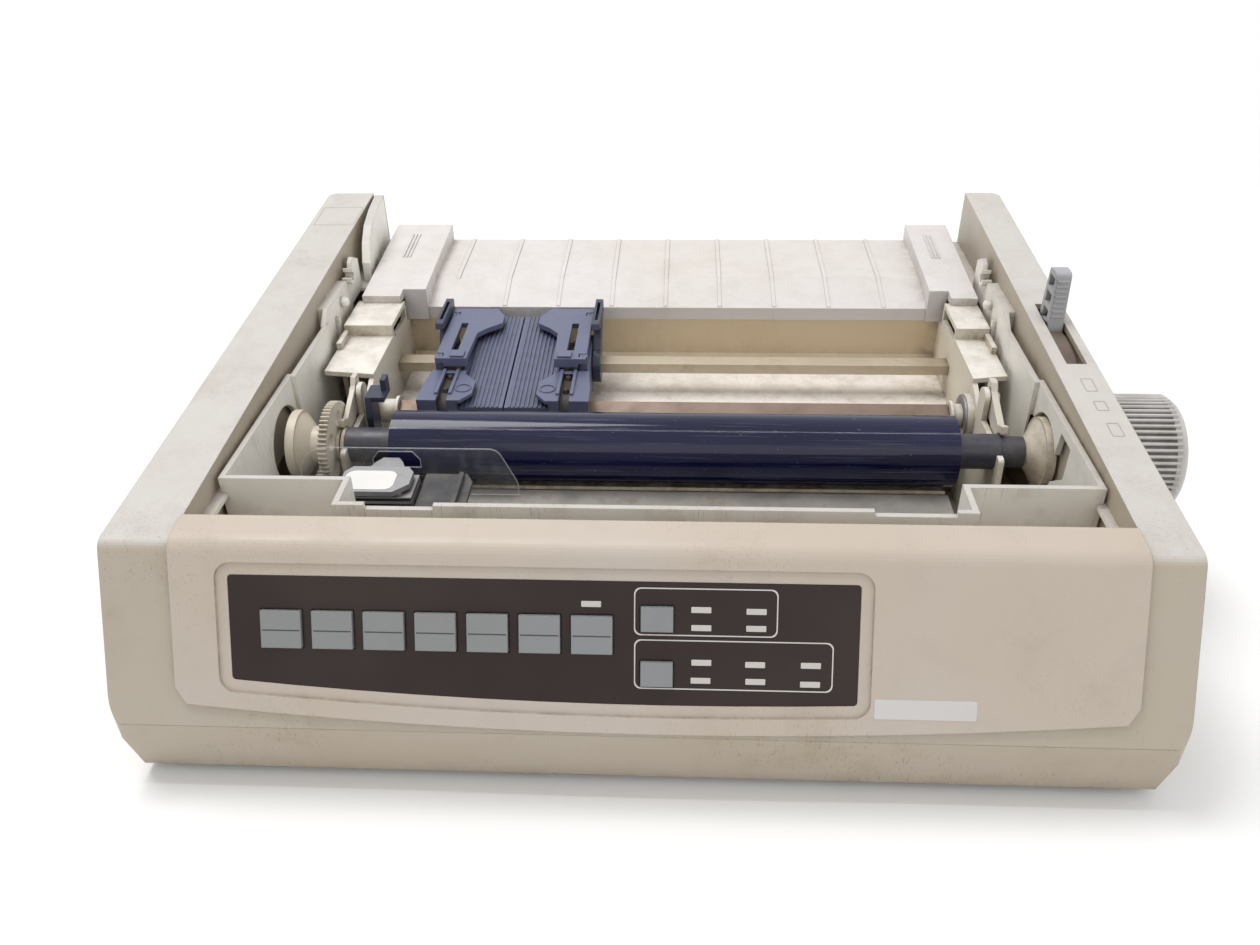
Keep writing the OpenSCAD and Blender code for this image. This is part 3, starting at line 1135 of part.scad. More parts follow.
// ---- Levers ----
latch_r = [stub_r + free_gap, stub_r + 4];
module platen_latch(x) {
    difference() {
        union() {
            along_x(x) polygon(concat([for (a = [82:-6:28]) platen_at + polar(latch_r[0], a)],
                [platen_at + [13, -1.5], platen_at + [16.5, -1.5], platen_at + [17.5, 4], lug_at + [1, -5.5], lug_at + [5, -1],
                 lug_at + [4.5, 8], lug_at + [0, 8], lug_at + [-2.5, 4]],
                [for (a = [52:6:82]) platen_at + polar(latch_r[1], a)]));
            rod_x(x, lug_at, latch_pin_r + 2.5);
        }
        rod_x([x[0] - cut, x[1] + cut], lug_at, latch_pin_r + run_gap);
    }
}
module left_latch() color("#e6dfcc") platen_latch([left_wall[0] - 2.8, left_wall[0] - 0.4]);
module right_latch() color("#e6dfcc") platen_latch([right_wall[1] + 0.4, right_wall[1] + 3.5]);

module gap_lever() color("#20284a") difference() {
    union() {
        rod_x(gap_lever_x, gap_lever_at, stud_r + 3);
        along_x(gap_lever_x) polygon([gap_lever_at + [-5, 0], gap_lever_at + [5, 0], gap_lever_at + [6, 18], gap_lever_at + [8, 27],
            gap_lever_at + [-4, 27], gap_lever_at + [-6, 17]]);
        box([gap_lever_x[0], gap_lever_x[1] + 6], shift([-4, 8], gap_lever_at.x), shift([24.5, 27], gap_lever_at.y));
        box([gap_lever_x[1] + 3.5, gap_lever_x[1] + 6], shift([2, 8], gap_lever_at.x), shift([24.5, 33], gap_lever_at.y));
    }
    rod_x([gap_lever_x[0] - cut, gap_lever_x[1] + cut], gap_lever_at, stud_r + run_gap);
}

release_x = [slot_x[0] + 0.9, slot_x[0] + 8.1];
release_top = [26, 130];
module release_lever() color("#a9aaab") difference() {
    union() {
        rod_x(release_x, release_at, release_pin_r + 4);
        along_x(release_x) polygon(rounded([release_at + [-6, 0], release_at + [7, 0], release_top + [7, -24], release_top + [5, 0],
            release_top + [-4, 0], release_top + [-7, -24]], [0, 0, 4, 2, 2, 4]));
        // Grip ribs across the front of the tip
        for (i = [0:7]) rod_x(inset(release_x, 1), release_top + [-4.3 - i * 0.28, -4 - i * 2.4], 0.7);
    }
    rod_x([release_x[0] - cut, release_x[1] + cut], release_at, release_pin_r + run_gap);
    // Ladder of recesses up the left side
    for (i = [0:3]) box([release_x[0] - cut, release_x[0] + 3.5], shift([-3.5, 3.5], release_top.x), shift([-8.5 - i * 8, -3 - i * 8], release_top.y));
}

// ---- Electronics in the back of the case ----
board_z = [floor_z + 5.2, floor_z + 6.8];
board_y = [y_rear - 70.5, y_rear - 10.5];
supply_x = [switch_x[0] - 20, inlet_x[1] + 6];
main_x = [port_x[0] - 42, switch_x[0] - 44];
inlet_mid = (inlet_x[0] + inlet_x[1]) / 2;
module board(x, y) {
    box(x, y, board_z);
    for (px = [x[0] + 5, x[1] - 5], py = [y[0] + 5, y[1] - 5]) rod_z([floor_z, board_z[0]], [px, py], 3);
}
rocker_at = [y_rear - 5.4, (socket_z[0] + socket_z[1]) / 2];
rocker_turn = 7;

module power_supply() color("#a88a4a") {
    difference() {
        union() {
            board(supply_x, board_y);
            // Transformer on its frame, and the heat sink
            box([supply_x[0] + 16, supply_x[0] + 60], [board_y[0] + 4, board_y[0] + 38], [board_z[1], board_z[1] + 42]);
            box([supply_x[0] + 10, supply_x[0] + 66], [board_y[0] + 10, board_y[0] + 32], [board_z[1], board_z[1] + 30]);
            box([supply_x[0] + 70, supply_x[0] + 73], [board_y[0] + 4, board_y[0] + 36], [board_z[1], board_z[1] + 26]);
            rod_z([board_z[1], board_z[1] + 24], [supply_x[0] + 7, board_y[1] - 12], 5);
            // Mains inlet and the switch's housing
            for (x = [inlet_x, switch_x]) box(inset(x, case_gap), [board_y[1] - 12, y_rear], inset(socket_z, case_gap));
        }
        difference() {
            box(inset(inlet_x, 2.5), [board_y[1] - 4, y_rear + cut], inset(socket_z, 2.5));
            for (x = [-6, 0, 6]) box([inlet_mid + x - 1, inlet_mid + x + 1], [board_y[1] - 12, y_rear - 3], [rocker_at.y - 2, rocker_at.y + 3]);
        }
        box(inset(switch_x, 2.2), [board_y[1] - 4, y_rear + cut], inset(socket_z, 2.2));
        rod_x(inset(switch_x, 1), rocker_at, 1.5 + run_gap);
    }
}

module power_switch() color("#262626") {
    rod_x(inset(switch_x, 1.2), rocker_at, 1.5);
    translate([0, rocker_at.x, rocker_at.y]) rotate([rocker_turn, 0, 0]) along_x(inset(switch_x, 2.7))
        polygon([[-4, -3], [-1, -6.8], [2.6, -6.8], [1.6, 0], [2.6, 6.8], [-1, 6.8], [-4, 3]]);
}

module main_board() color("#2f5d3a") {
    board(main_x, board_y);
    box(inset(port_x, case_gap), [board_y[1] - 14, y_rear], [board_z[1] - 0.1, socket_z[1] - case_gap]);
    // Chips in their sockets
    for (i = [0:4]) box([main_x[0] + 10 + i * 38, main_x[0] + 26 + i * 38], [board_y[0] + 6, board_y[0] + 36 - 8 * (i % 2)],
        [board_z[1] - 0.1, board_z[1] + 4.5]);
    box([main_x[1] - 22, main_x[1] - 6], [board_y[0] + 18, board_y[1] - 6], [board_z[1] - 0.1, board_z[1] + 16]);
}

// Shifts the case so that the middle of case and knob together is at the origin
module placed() translate([-knob_out / 2, 0, 0]) children();

placed() lower_cover();
placed() rubber_feet();
placed() cover_screws();
placed() upper_cover();
placed() front_bezel();
placed() control_window();
for (i = [1:key_names]) placed() row_key(i);
for (i = [1:2]) placed() small_key(i);
placed() panel_board();
placed() paper_table();
placed() mechanism_base();
placed() left_frame();
placed() right_frame();
placed() paper_chute();
placed() tractor_rail();
placed() platen_roller();
placed() platen_shaft();
placed() platen_gear();
placed() platen_knob();
placed() idler_gear_1();
placed() idler_gear_2();
placed() reduction_gear();
placed() line_feed_motor();
placed() motor_pinion();
placed() tractor_drive_shaft();
placed() left_side() color("#3e4a68") tractor_frame();  // left_tractor_frame
placed() left_side() color("#465272") tractor_lid();  // left_tractor_lid
placed() left_side() color("#26262a") pin_belt();  // left_pin_belt
placed() left_side() color("#2f3648") sprocket();  // left_sprocket
placed() left_side() color("#242a3c") lock_lever();  // left_lock_lever
placed() left_side() color("#46506c") paper_support();  // left_paper_support
placed() right_side() color("#3e4a68") tractor_frame();  // right_tractor_frame
placed() right_side() color("#465272") tractor_lid();  // right_tractor_lid
placed() right_side() color("#26262a") pin_belt();  // right_pin_belt
placed() right_side() color("#2f3648") sprocket();  // right_sprocket
placed() right_side() color("#242a3c") lock_lever();  // right_lock_lever
placed() right_side() color("#46506c") paper_support();  // right_paper_support
placed() pressure_rollers();
placed() guide_shaft();
placed() carriage();
placed() print_head();
placed() ribbon_shield();
placed() space_motor();
placed() motor_pulley();
placed() idler_pulley();
placed() carriage_belt();
placed() left_latch();
placed() right_latch();
placed() gap_lever();
placed() release_lever();
placed() power_supply();
placed() main_board();
placed() power_switch();
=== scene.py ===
"""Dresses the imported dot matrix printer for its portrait: camera, studio, materials and the small trim pieces."""
import bpy
import bmesh
import math
from mathutils import Matrix, Vector


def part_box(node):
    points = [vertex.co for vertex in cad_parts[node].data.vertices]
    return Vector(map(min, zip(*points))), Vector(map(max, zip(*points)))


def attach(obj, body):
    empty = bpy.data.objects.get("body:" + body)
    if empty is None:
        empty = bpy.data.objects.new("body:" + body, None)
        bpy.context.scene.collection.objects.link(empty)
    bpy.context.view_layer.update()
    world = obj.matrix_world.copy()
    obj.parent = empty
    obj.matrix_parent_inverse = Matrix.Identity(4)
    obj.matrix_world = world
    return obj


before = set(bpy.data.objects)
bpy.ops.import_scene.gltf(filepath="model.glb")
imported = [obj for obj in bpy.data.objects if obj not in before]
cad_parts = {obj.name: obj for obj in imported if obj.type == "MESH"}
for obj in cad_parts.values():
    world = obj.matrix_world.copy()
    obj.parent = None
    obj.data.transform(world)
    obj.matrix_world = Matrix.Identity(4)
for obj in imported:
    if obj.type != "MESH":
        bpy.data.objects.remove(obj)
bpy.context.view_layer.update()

MM = 0.001
CASE_X = -16.0          # the middle of the case alone, in the row frame, in millimetres
LEFT_RIGHT = ("left", "right")


def mm(x, y, z):
    """A point of the case, in millimetres, as a point of the row frame, in metres."""
    return Vector(((x + CASE_X) * MM, y * MM, z * MM))


# ---------------------------------------------------------------- camera
# Fitted to the photograph: focal length and width of the picture in its pixels, then the camera's axes and place
FOCAL_PX, FRAME_W = 1039.6, 1260
SENSOR_WIDTH = 36.0
RIGHT = Vector((0.99875, 0.04702, -0.01693))
UP = Vector((-0.01227, 0.55930, 0.82887))
BACK = Vector((0.04844, -0.82762, 0.55919))
CAMERA_AT = (14.8, -434.8, 325.1)


def add_camera():
    data = bpy.data.cameras.new("camera")
    data.sensor_width = SENSOR_WIDTH
    data.lens = SENSOR_WIDTH * FOCAL_PX / FRAME_W
    data.clip_start, data.clip_end = 0.02, 20.0
    cam = bpy.data.objects.new("camera", data)
    pose = Matrix((RIGHT, UP, BACK)).transposed().to_4x4()
    pose.translation = mm(*CAMERA_AT)
    cam.matrix_world = pose
    bpy.context.scene.collection.objects.link(cam)
    bpy.context.scene.camera = cam


# ---------------------------------------------------------------- node helpers
EDGE_DOT = (0.995, 0.86)        # bevelled normal against the face's own, from an open face to a sharp edge
CREVICE_AO = (0.92, 0.35)       # ambient occlusion, from an open face to a deep corner
UP_Z = (0.55, 0.97)             # the normal's Z, from a steep face to a level one
NODE_SAMPLES = 4


class Nodes:
    """Builds one material, node by node. A socket argument may be a number, a colour or another node's output."""

    def __init__(self, name):
        self.mat = bpy.data.materials.new(name)
        self.mat.use_nodes = True
        self.tree = self.mat.node_tree
        self.tree.nodes.clear()
        self.coord = self.add("ShaderNodeTexCoord").outputs["Object"]

    def add(self, kind, **settings):
        node = self.tree.nodes.new(kind)
        for key, value in settings.items():
            setattr(node, key, value)
        return node

    def put(self, socket, value):
        if isinstance(value, bpy.types.NodeSocket):
            self.tree.links.new(value, socket)
        elif isinstance(value, (tuple, list)) and len(value) == 3 and socket.type == "RGBA":
            socket.default_value = (*value, 1.0)
        else:
            socket.default_value = value

    def noise(self, scale, detail=4.0, rough=0.55, stretch=None):
        at = self.coord
        if stretch:
            node = self.add("ShaderNodeMapping")
            self.put(node.inputs["Vector"], at)
            node.inputs["Scale"].default_value = stretch
            at = node.outputs["Vector"]
        node = self.add("ShaderNodeTexNoise")
        self.put(node.inputs["Vector"], at)
        node.inputs["Scale"].default_value = scale
        node.inputs["Detail"].default_value = detail
        node.inputs["Roughness"].default_value = rough
        return node.outputs["Fac"]

    def math(self, op, a, b=0.0, clamp=False):
        node = self.add("ShaderNodeMath", operation=op, use_clamp=clamp)
        self.put(node.inputs[0], a)
        self.put(node.inputs[1], b)
        return node.outputs[0]

    def span(self, value, lo, hi, out_lo=0.0, out_hi=1.0):
        """Maps lo..hi to out_lo..out_hi, smoothly and clamped."""
        node = self.add("ShaderNodeMapRange", interpolation_type="SMOOTHSTEP")
        for socket, v in zip(node.inputs, (value, lo, hi, out_lo, out_hi)):
            self.put(socket, v)
        return node.outputs[0]

    def mix(self, factor, a, b):
        """Colour a where the factor is 0, b where it is 1. A colour Mix node has them on sockets 6 and 7."""
        node = self.add("ShaderNodeMix", data_type="RGBA")
        self.put(node.inputs[0], factor)
        self.put(node.inputs[6], a)
        self.put(node.inputs[7], b)
        return node.outputs[2]

    def axis(self, vector, name):
        node = self.add("ShaderNodeSeparateXYZ")
        self.put(node.inputs[0], vector)
        return node.outputs[name]

    def edges(self, radius):
        """How far a place is on a sharp edge, 0 to 1, and the softened normal."""
        bevel = self.add("ShaderNodeBevel", samples=NODE_SAMPLES)
        bevel.inputs["Radius"].default_value = radius
        geo = self.add("ShaderNodeNewGeometry")
        dot = self.add("ShaderNodeVectorMath", operation="DOT_PRODUCT")
        self.put(dot.inputs[0], bevel.outputs[0])
        self.put(dot.inputs[1], geo.outputs["Normal"])
        return self.span(dot.outputs["Value"], *EDGE_DOT), bevel.outputs[0]

    def crevice(self, distance):
        """1 deep in corners, 0 on open faces."""
        ao = self.add("ShaderNodeAmbientOcclusion", samples=NODE_SAMPLES)
        ao.inputs["Distance"].default_value = distance
        return self.span(ao.outputs["AO"], *CREVICE_AO)

    def up(self):
        """1 on faces that look up, 0 on steep ones."""
        geo = self.add("ShaderNodeNewGeometry")
        return self.span(self.axis(geo.outputs["Normal"], "Z"), *UP_Z)

    def bump(self, height, strength, distance, normal=None):
        node = self.add("ShaderNodeBump")
        node.inputs["Strength"].default_value = strength
        node.inputs["Distance"].default_value = distance
        self.put(node.inputs["Height"], height)
        if normal is not None:
            self.put(node.inputs["Normal"], normal)
        return node.outputs[0]

    def finish(self, color, rough, normal=None, metallic=0.0, **fixed):
        """Closes the material; fixed holds further sockets of the shader, with _ for a space."""
        shader = self.add("ShaderNodeBsdfPrincipled")
        self.put(shader.inputs["Base Color"], color)
        self.put(shader.inputs["Roughness"], rough)
        shader.inputs["Metallic"].default_value = metallic
        for key, value in fixed.items():
            self.put(shader.inputs[key.replace("_", " ")], value)
        if normal is not None:
            self.put(shader.inputs["Normal"], normal)
        out = self.add("ShaderNodeOutputMaterial")
        self.put(out.inputs[0], shader.outputs[0])
        return self.mat


def shade(color, by):
    return tuple(c * by for c in color)


def band(n, low, high, name="X"):
    """1 between two places along an axis, in millimetres of the case."""
    at, shift = n.axis(n.coord, name), CASE_X if name == "X" else 0.0
    return n.math("MULTIPLY", n.math("GREATER_THAN", at, (low + shift) * MM),
                  n.math("LESS_THAN", at, (high + shift) * MM))


def box_band(n, x, z):
    """1 inside a rectangle seen from the back."""
    return n.math("MULTIPLY", band(n, x[0], x[1]), band(n, z[0], z[1], "Z"))


BAY_X, BAY_Y = (-172.4, 179.9), (-123.5, 169.6)


def in_bay(n):
    """1 between the rails and behind the front strip, where the plastic takes a lighter colour: painted light that
    lifts the shaded interior, and partly plastic that the covers have kept from the light.
    """
    return n.math("MULTIPLY", band(n, *BAY_Y, "Y"), band(n, *BAY_X))


# ---------------------------------------------------------------- plastic and metal
# The first colour darkens corners, partly as grime and partly as painted shade, and also tints stains, scrapes and
# chips
SOIL_AND_SHADE, DUST, GRIT, TARNISH = (0.20, 0.145, 0.09), (0.30, 0.24, 0.17), (0.13, 0.095, 0.065), (0.20, 0.14, 0.09)
GRAIN_SCALE = 2600.0
# Depths of bumps, widths of edges (lightened on plastic by rubbing and as painted highlight) and the reach of fine
# grime and of painted shade in corners, in metres
GRAIN_DEPTH, LINE_DEPTH = 0.0002, 0.0001
PLASTIC_EDGE, FINE_EDGE, METAL_EDGE, CLEAR_EDGE = 0.0006, 0.0004, 0.0003, 0.0005
FINE_REACH = 0.006
EVEN = (1.0, 1.0, 1.0)          # no brushing


def aged_with_painted_light(n, color, inside, top):
    """The colour with its yellowing; inside the bay a lighter colour that is partly painted light and partly
    plastic kept from the light, and a lighter colour on what faces up, which is painted light.
    """
    yellowed = (color[0] * 0.97, color[1] * 0.95, color[2] * 0.90)
    base = n.mix(n.span(n.noise(9.0, 3.0), 0.35, 0.7), color, yellowed)
    # Inside the bay a lighter colour: mostly painted light for the shaded interior, partly less yellowing
    if inside:
        base = n.mix(in_bay(n), base, inside)
    # Faces that look up get a lighter colour: painted light from above
    if top:
        base = n.mix(n.up(), base, top)
    return base


def soiled_and_shaded(n, base, blotch, soil_and_shade, reach, dirt_and_shade):
    """Darkening in the corners that is partly grime and partly painted shade, and specks of grime where the plastic
    is blotched.
    """
    streak = n.span(n.noise(140.0, 5.0, 0.7), 0.30, 0.72, 0.25 * dirt_and_shade, 1.25 * dirt_and_shade)
    # Darker deep in corners and recesses: partly grime, partly painted shade
    base = n.mix(n.math("MULTIPLY", n.crevice(reach), streak, True), base, soil_and_shade)
    speck = n.span(n.noise(420.0, 6.0, 0.75), 0.60, 0.70)
    return n.mix(n.math("MULTIPLY", speck, n.span(blotch, 0.45, 0.75, 0.0, 0.5 * dirt_and_shade)), base, shade(soil_and_shade, 0.7))


def worn(n, base, rim, soil_and_shade, wear):
    """Stains, upright scrapes and chipped edges, in patches."""
    patch = n.noise(16.0, 4.0, 0.6)
    stain = n.span(n.noise(34.0, 7.0, 0.72), 0.48, 0.72)
    base = n.mix(n.math("MULTIPLY", stain, n.span(patch, 0.42, 0.66, 0.05 * wear, 0.38 * wear)),
                 base, shade(soil_and_shade, 1.5))
    scrape = n.span(n.noise(260.0, 3.0, 0.6, stretch=(5.0, 5.0, 0.3)), 0.60, 0.66)
    base = n.mix(n.math("MULTIPLY", scrape, n.span(patch, 0.46, 0.62, 0.0, 0.45 * wear)), base, soil_and_shade)
    chip = n.math("MULTIPLY", rim, n.span(n.noise(330.0, 5.0, 0.8), 0.54, 0.62))
    return n.mix(n.math("MULTIPLY", chip, n.span(patch, 0.44, 0.58, 0.0, 0.9 * wear), True),
                 base, shade(soil_and_shade, 0.45))


def dusty(n, base, dust):
    """A film of dust and coarse grit on what faces up."""
    lying = n.math("MULTIPLY", n.up(), n.span(n.noise(75.0, 7.0, 0.7), 0.40, 0.66))
    base = n.mix(n.math("MULTIPLY", lying, dust), base, DUST)
    grit = n.math("MULTIPLY", n.span(n.noise(1500.0, 2.0), 0.60, 0.66),
                  n.span(n.noise(45.0, 5.0, 0.65), 0.45, 0.65))
    return n.mix(n.math("MULTIPLY", n.math("MULTIPLY", n.up(), grit), 2.2 * dust, True), base, GRIT)


def plastic(name, color, rough=0.45, grain=0.12, dirt_and_shade=0.35, dust=0.0, edge=0.25, soil_and_shade=SOIL_AND_SHADE, reach=0.012,
            inside=None, top=None, wear=0.3):
    """Moulded plastic: mottled with age, fine grain, grime and painted shade in the corners, dust on what faces up,
    edges lightened by rubbing and by painted highlight, and where asked a lighter painted-light colour inside the
    bay and on what faces up.
    """
    n = Nodes(name)
    blotch = n.noise(55.0, 6.0, 0.62)
    rim, soft = n.edges(PLASTIC_EDGE)
    # The colour of lit and rubbed edges: partly wear, partly painted highlight
    rubbed_and_highlit = tuple(min(1.0, c * 1.18 + 0.02) for c in color)
    base = aged_with_painted_light(n, color, inside, top)
    base = n.mix(n.span(blotch, 0.5, 0.8, 0.0, 0.30), base, shade(color, 0.80))
    # Edges lightened: partly rubbed plastic, partly painted highlight where the light catches them
    base = n.mix(n.math("MULTIPLY", rim, edge * 0.6), base, rubbed_and_highlit)
    base = soiled_and_shaded(n, base, blotch, soil_and_shade, reach, dirt_and_shade)
    base = worn(n, base, rim, soil_and_shade, wear)
    if dust:
        base = dusty(n, base, dust)
    normal = n.bump(n.noise(GRAIN_SCALE, 2.0), grain, GRAIN_DEPTH, soft)
    return n.finish(base, n.span(blotch, 0.3, 0.75, rough - 0.07, rough + 0.10), normal)


def metal(name, color, rough=0.32, brush=(1.0, 60.0, 60.0), tarnished=0.35, metallic=1.0):
    """Ground or plated metal with fine lines across one axis and some tarnish."""
    n = Nodes(name)
    lines = n.noise(90.0, 4.0, stretch=brush)
    stain = n.noise(60.0, 6.0, 0.65)
    base = n.mix(n.span(lines, 0.35, 0.65, 0.0, 0.35), color, shade(color, 0.72))
    base = n.mix(n.span(stain, 0.48, 0.78, 0.0, tarnished), base, TARNISH)
    base = n.mix(n.math("MULTIPLY", n.crevice(FINE_REACH), 0.6), base, shade(TARNISH, 0.5))
    _, soft = n.edges(METAL_EDGE)
    return n.finish(base, n.span(stain, 0.3, 0.8, rough, rough + 0.25), n.bump(lines, 0.12, LINE_DEPTH, soft),
                    metallic=metallic)


# ---------------------------------------------------------------- materials
BEIGE = (0.495, 0.440, 0.360)
CREAM = (0.66, 0.61, 0.52)
SLATE = (0.125, 0.138, 0.225)

PLATEN_AXIS = (-33.0, 67.5)                             # Y and Z
LEFT_HUB_X, RIGHT_HUB_X = (-150.0, -139.5), (168.3, 179.7)
KNOB_FLUTES_X, FLUTE_RADII = (199.0, 225.5), (26.3, 25.6)
PORT_MID, PORT_SHELL, PORT_SLOT = (-90.0, 20.3), (22.0, 4.4), (19.5, 2.4)      # middle in X and Z, half sizes
BACK_OF_BOARD, BACK_OF_SUPPLY = (146.0, 180.0), (148.0, 180.0)                 # Y


def platen_material():
    """Navy rubber with fine lines from the print and pale flecks, streaks along the axis that are partly scratches
    and partly painted highlight.
    """
    n = Nodes("platen_rubber")
    smear = n.noise(30.0, 6.0, 0.7, stretch=(0.25, 1.0, 1.0))
    print_rows = n.noise(700.0, 3.0, 0.6, stretch=(0.03, 1.0, 1.0))
    base = n.mix(n.span(smear, 0.35, 0.7), (0.004, 0.005, 0.030), (0.010, 0.011, 0.055))
    base = n.mix(n.span(print_rows, 0.55, 0.72, 0.0, 0.32), base, (0.10, 0.11, 0.17))
    # Pale streaks along the axis: partly scratches, partly painted highlight
    fleck_and_painted_streak = n.span(n.noise(700.0, 4.0, 0.8, stretch=(0.3, 1.0, 1.0)), 0.66, 0.72)
    base = n.mix(n.math("MULTIPLY", fleck_and_painted_streak, 0.5), base, (0.34, 0.34, 0.40))
    rough = n.math("ADD", n.span(smear, 0.3, 0.75, 0.07, 0.15), n.span(print_rows, 0.5, 0.75, 0.0, 0.12))
    return n.finish(base, rough, n.bump(print_rows, 0.08, GRAIN_DEPTH), Specular_IOR_Level=0.36)


def shaft_material():
    """Dark steel with a cream hub at either end."""
    n = Nodes("platen_shaft")
    stain = n.noise(80.0, 6.0, 0.7)
    base = n.mix(n.span(stain, 0.4, 0.75), (0.035, 0.036, 0.055), (0.10, 0.085, 0.07))
    for place, clean, stained in ((RIGHT_HUB_X, (0.66, 0.60, 0.50), (0.42, 0.35, 0.26)),
                                  (LEFT_HUB_X, (0.62, 0.57, 0.47), (0.40, 0.33, 0.24))):
        base = n.mix(band(n, *place), base, n.mix(n.span(stain, 0.35, 0.7), clean, stained))
    _, soft = n.edges(FINE_EDGE)
    return n.finish(base, n.span(stain, 0.3, 0.7, 0.3, 0.55), n.bump(stain, 0.1, GRAIN_DEPTH, soft))


def knob_material():
    """Grey plastic, near black deep in the flutes: painted shade."""
    n = Nodes("knob_plastic")
    y = n.math("SUBTRACT", n.axis(n.coord, "Y"), PLATEN_AXIS[0] * MM)
    z = n.math("SUBTRACT", n.axis(n.coord, "Z"), PLATEN_AXIS[1] * MM)
    away = n.math("SQRT", n.math("ADD", n.math("MULTIPLY", y, y), n.math("MULTIPLY", z, z)))
    tone = n.noise(90.0, 5.0, 0.6)
    base = n.mix(n.span(tone, 0.35, 0.7), (0.60, 0.58, 0.56), (0.50, 0.475, 0.45))
    # Deep in the flutes the colour goes near black: painted shade in the recesses
    deep = n.math("MULTIPLY", n.span(away, FLUTE_RADII[0] * MM, FLUTE_RADII[1] * MM), band(n, *KNOB_FLUTES_X))
    base = n.mix(n.math("MULTIPLY", deep, n.span(tone, 0.3, 0.7, 0.75, 0.95)), base, (0.085, 0.075, 0.07))
    _, soft = n.edges(FINE_EDGE)
    normal = n.bump(n.noise(GRAIN_SCALE, 2.0), 0.08, GRAIN_DEPTH, soft)
    return n.finish(base, n.span(tone, 0.3, 0.7, 0.42, 0.56), normal)


def clear_material():
    """Clear plastic that shows pale at its edges, a painted highlight, and where it is scuffed."""
    n = Nodes("clear_plastic")
    scuff = n.noise(240.0, 6.0, 0.7, stretch=(1.0, 1.0, 0.4))
    rim, soft = n.edges(CLEAR_EDGE)
    # Opaque pale rims stand in for light catching the edges: painted highlight; the scuffs are real
    rim_glint_and_scuff = n.math("MAXIMUM", n.math("MULTIPLY", rim, 0.9), n.span(scuff, 0.45, 0.8, 0.03, 0.10))
    normal = n.bump(scuff, 0.03, LINE_DEPTH, soft)
    mat = n.finish((0.93, 0.95, 0.96), n.span(scuff, 0.45, 0.8, 0.06, 0.35), normal, IOR=1.45, Alpha=rim_glint_and_scuff)
    mat.surface_render_method = "BLENDED"
    return mat


def board_material():
    """Green board with tracks; the port's block at the back is dark, with a steel shell round a black slot."""
    n = Nodes("board")
    track = n.noise(300.0, 2.0, stretch=(1.0, 0.15, 1.0))
    base = n.mix(n.span(track, 0.5, 0.56), (0.018, 0.085, 0.035), (0.035, 0.14, 0.055))
    port = (0.035, 0.036, 0.038)
    for (half_x, half_z), color in ((PORT_SHELL, (0.30, 0.30, 0.31)), (PORT_SLOT, (0.008, 0.008, 0.009))):
        x, z = PORT_MID
        port = n.mix(box_band(n, (x - half_x, x + half_x), (z - half_z, z + half_z)), port, color)
    base = n.mix(band(n, *BACK_OF_BOARD, "Y"), base, port)
    return n.finish(base, 0.38, n.bump(track, 0.15, LINE_DEPTH))


def supply_material():
    """Brown board and parts, black plastic round the inlet and the switch at the back, and painted shade, near
    black, deep in the corners.
    """
    n = Nodes("supply_parts")
    tone = n.noise(220.0, 4.0, 0.6)
    base = n.mix(n.span(tone, 0.4, 0.7), (0.28, 0.20, 0.09), (0.20, 0.14, 0.065))
    base = n.mix(band(n, *BACK_OF_SUPPLY, "Y"), base, (0.016, 0.016, 0.017))
    # Near black deep in the corners: painted shade
    base = n.mix(n.math("MULTIPLY", n.crevice(FINE_REACH), 0.6), base, (0.006, 0.006, 0.006))
    _, soft = n.edges(FINE_EDGE)
    return n.finish(base, n.span(tone, 0.3, 0.7, 0.34, 0.55), n.bump(tone, 0.05, LINE_DEPTH, soft))


def window_material():
    """Dark brown film with a little dust."""
    n = Nodes("window_film")
    tone = n.noise(12.0, 3.0)
    dust = n.noise(500.0, 6.0, 0.8)
    base = n.mix(n.span(tone, 0.35, 0.7), (0.024, 0.013, 0.011), (0.034, 0.022, 0.018))
    base = n.mix(n.span(dust, 0.64, 0.76, 0.0, 0.25), base, (0.20, 0.17, 0.15))
    _, soft = n.edges(FINE_EDGE)
    return n.finish(base, n.span(dust, 0.4, 0.7, 0.30, 0.44), n.bump(dust, 0.02, LINE_DEPTH, soft),
                    Specular_IOR_Level=0.3)


def label_material(name, color):
    """Print or paper, faded and scuffed."""
    n = Nodes(name)
    fade = n.noise(40.0, 5.0, 0.6)
    scuff = n.noise(350.0, 6.0, 0.8)
    base = n.mix(n.span(fade, 0.4, 0.75, 0.0, 0.5), color, shade(color, 0.86))
    base = n.mix(n.span(scuff, 0.62, 0.74, 0.0, 0.4), base, (0.30, 0.26, 0.22))
    return n.finish(base, n.span(scuff, 0.4, 0.7, 0.40, 0.60), n.bump(scuff, 0.04, LINE_DEPTH))


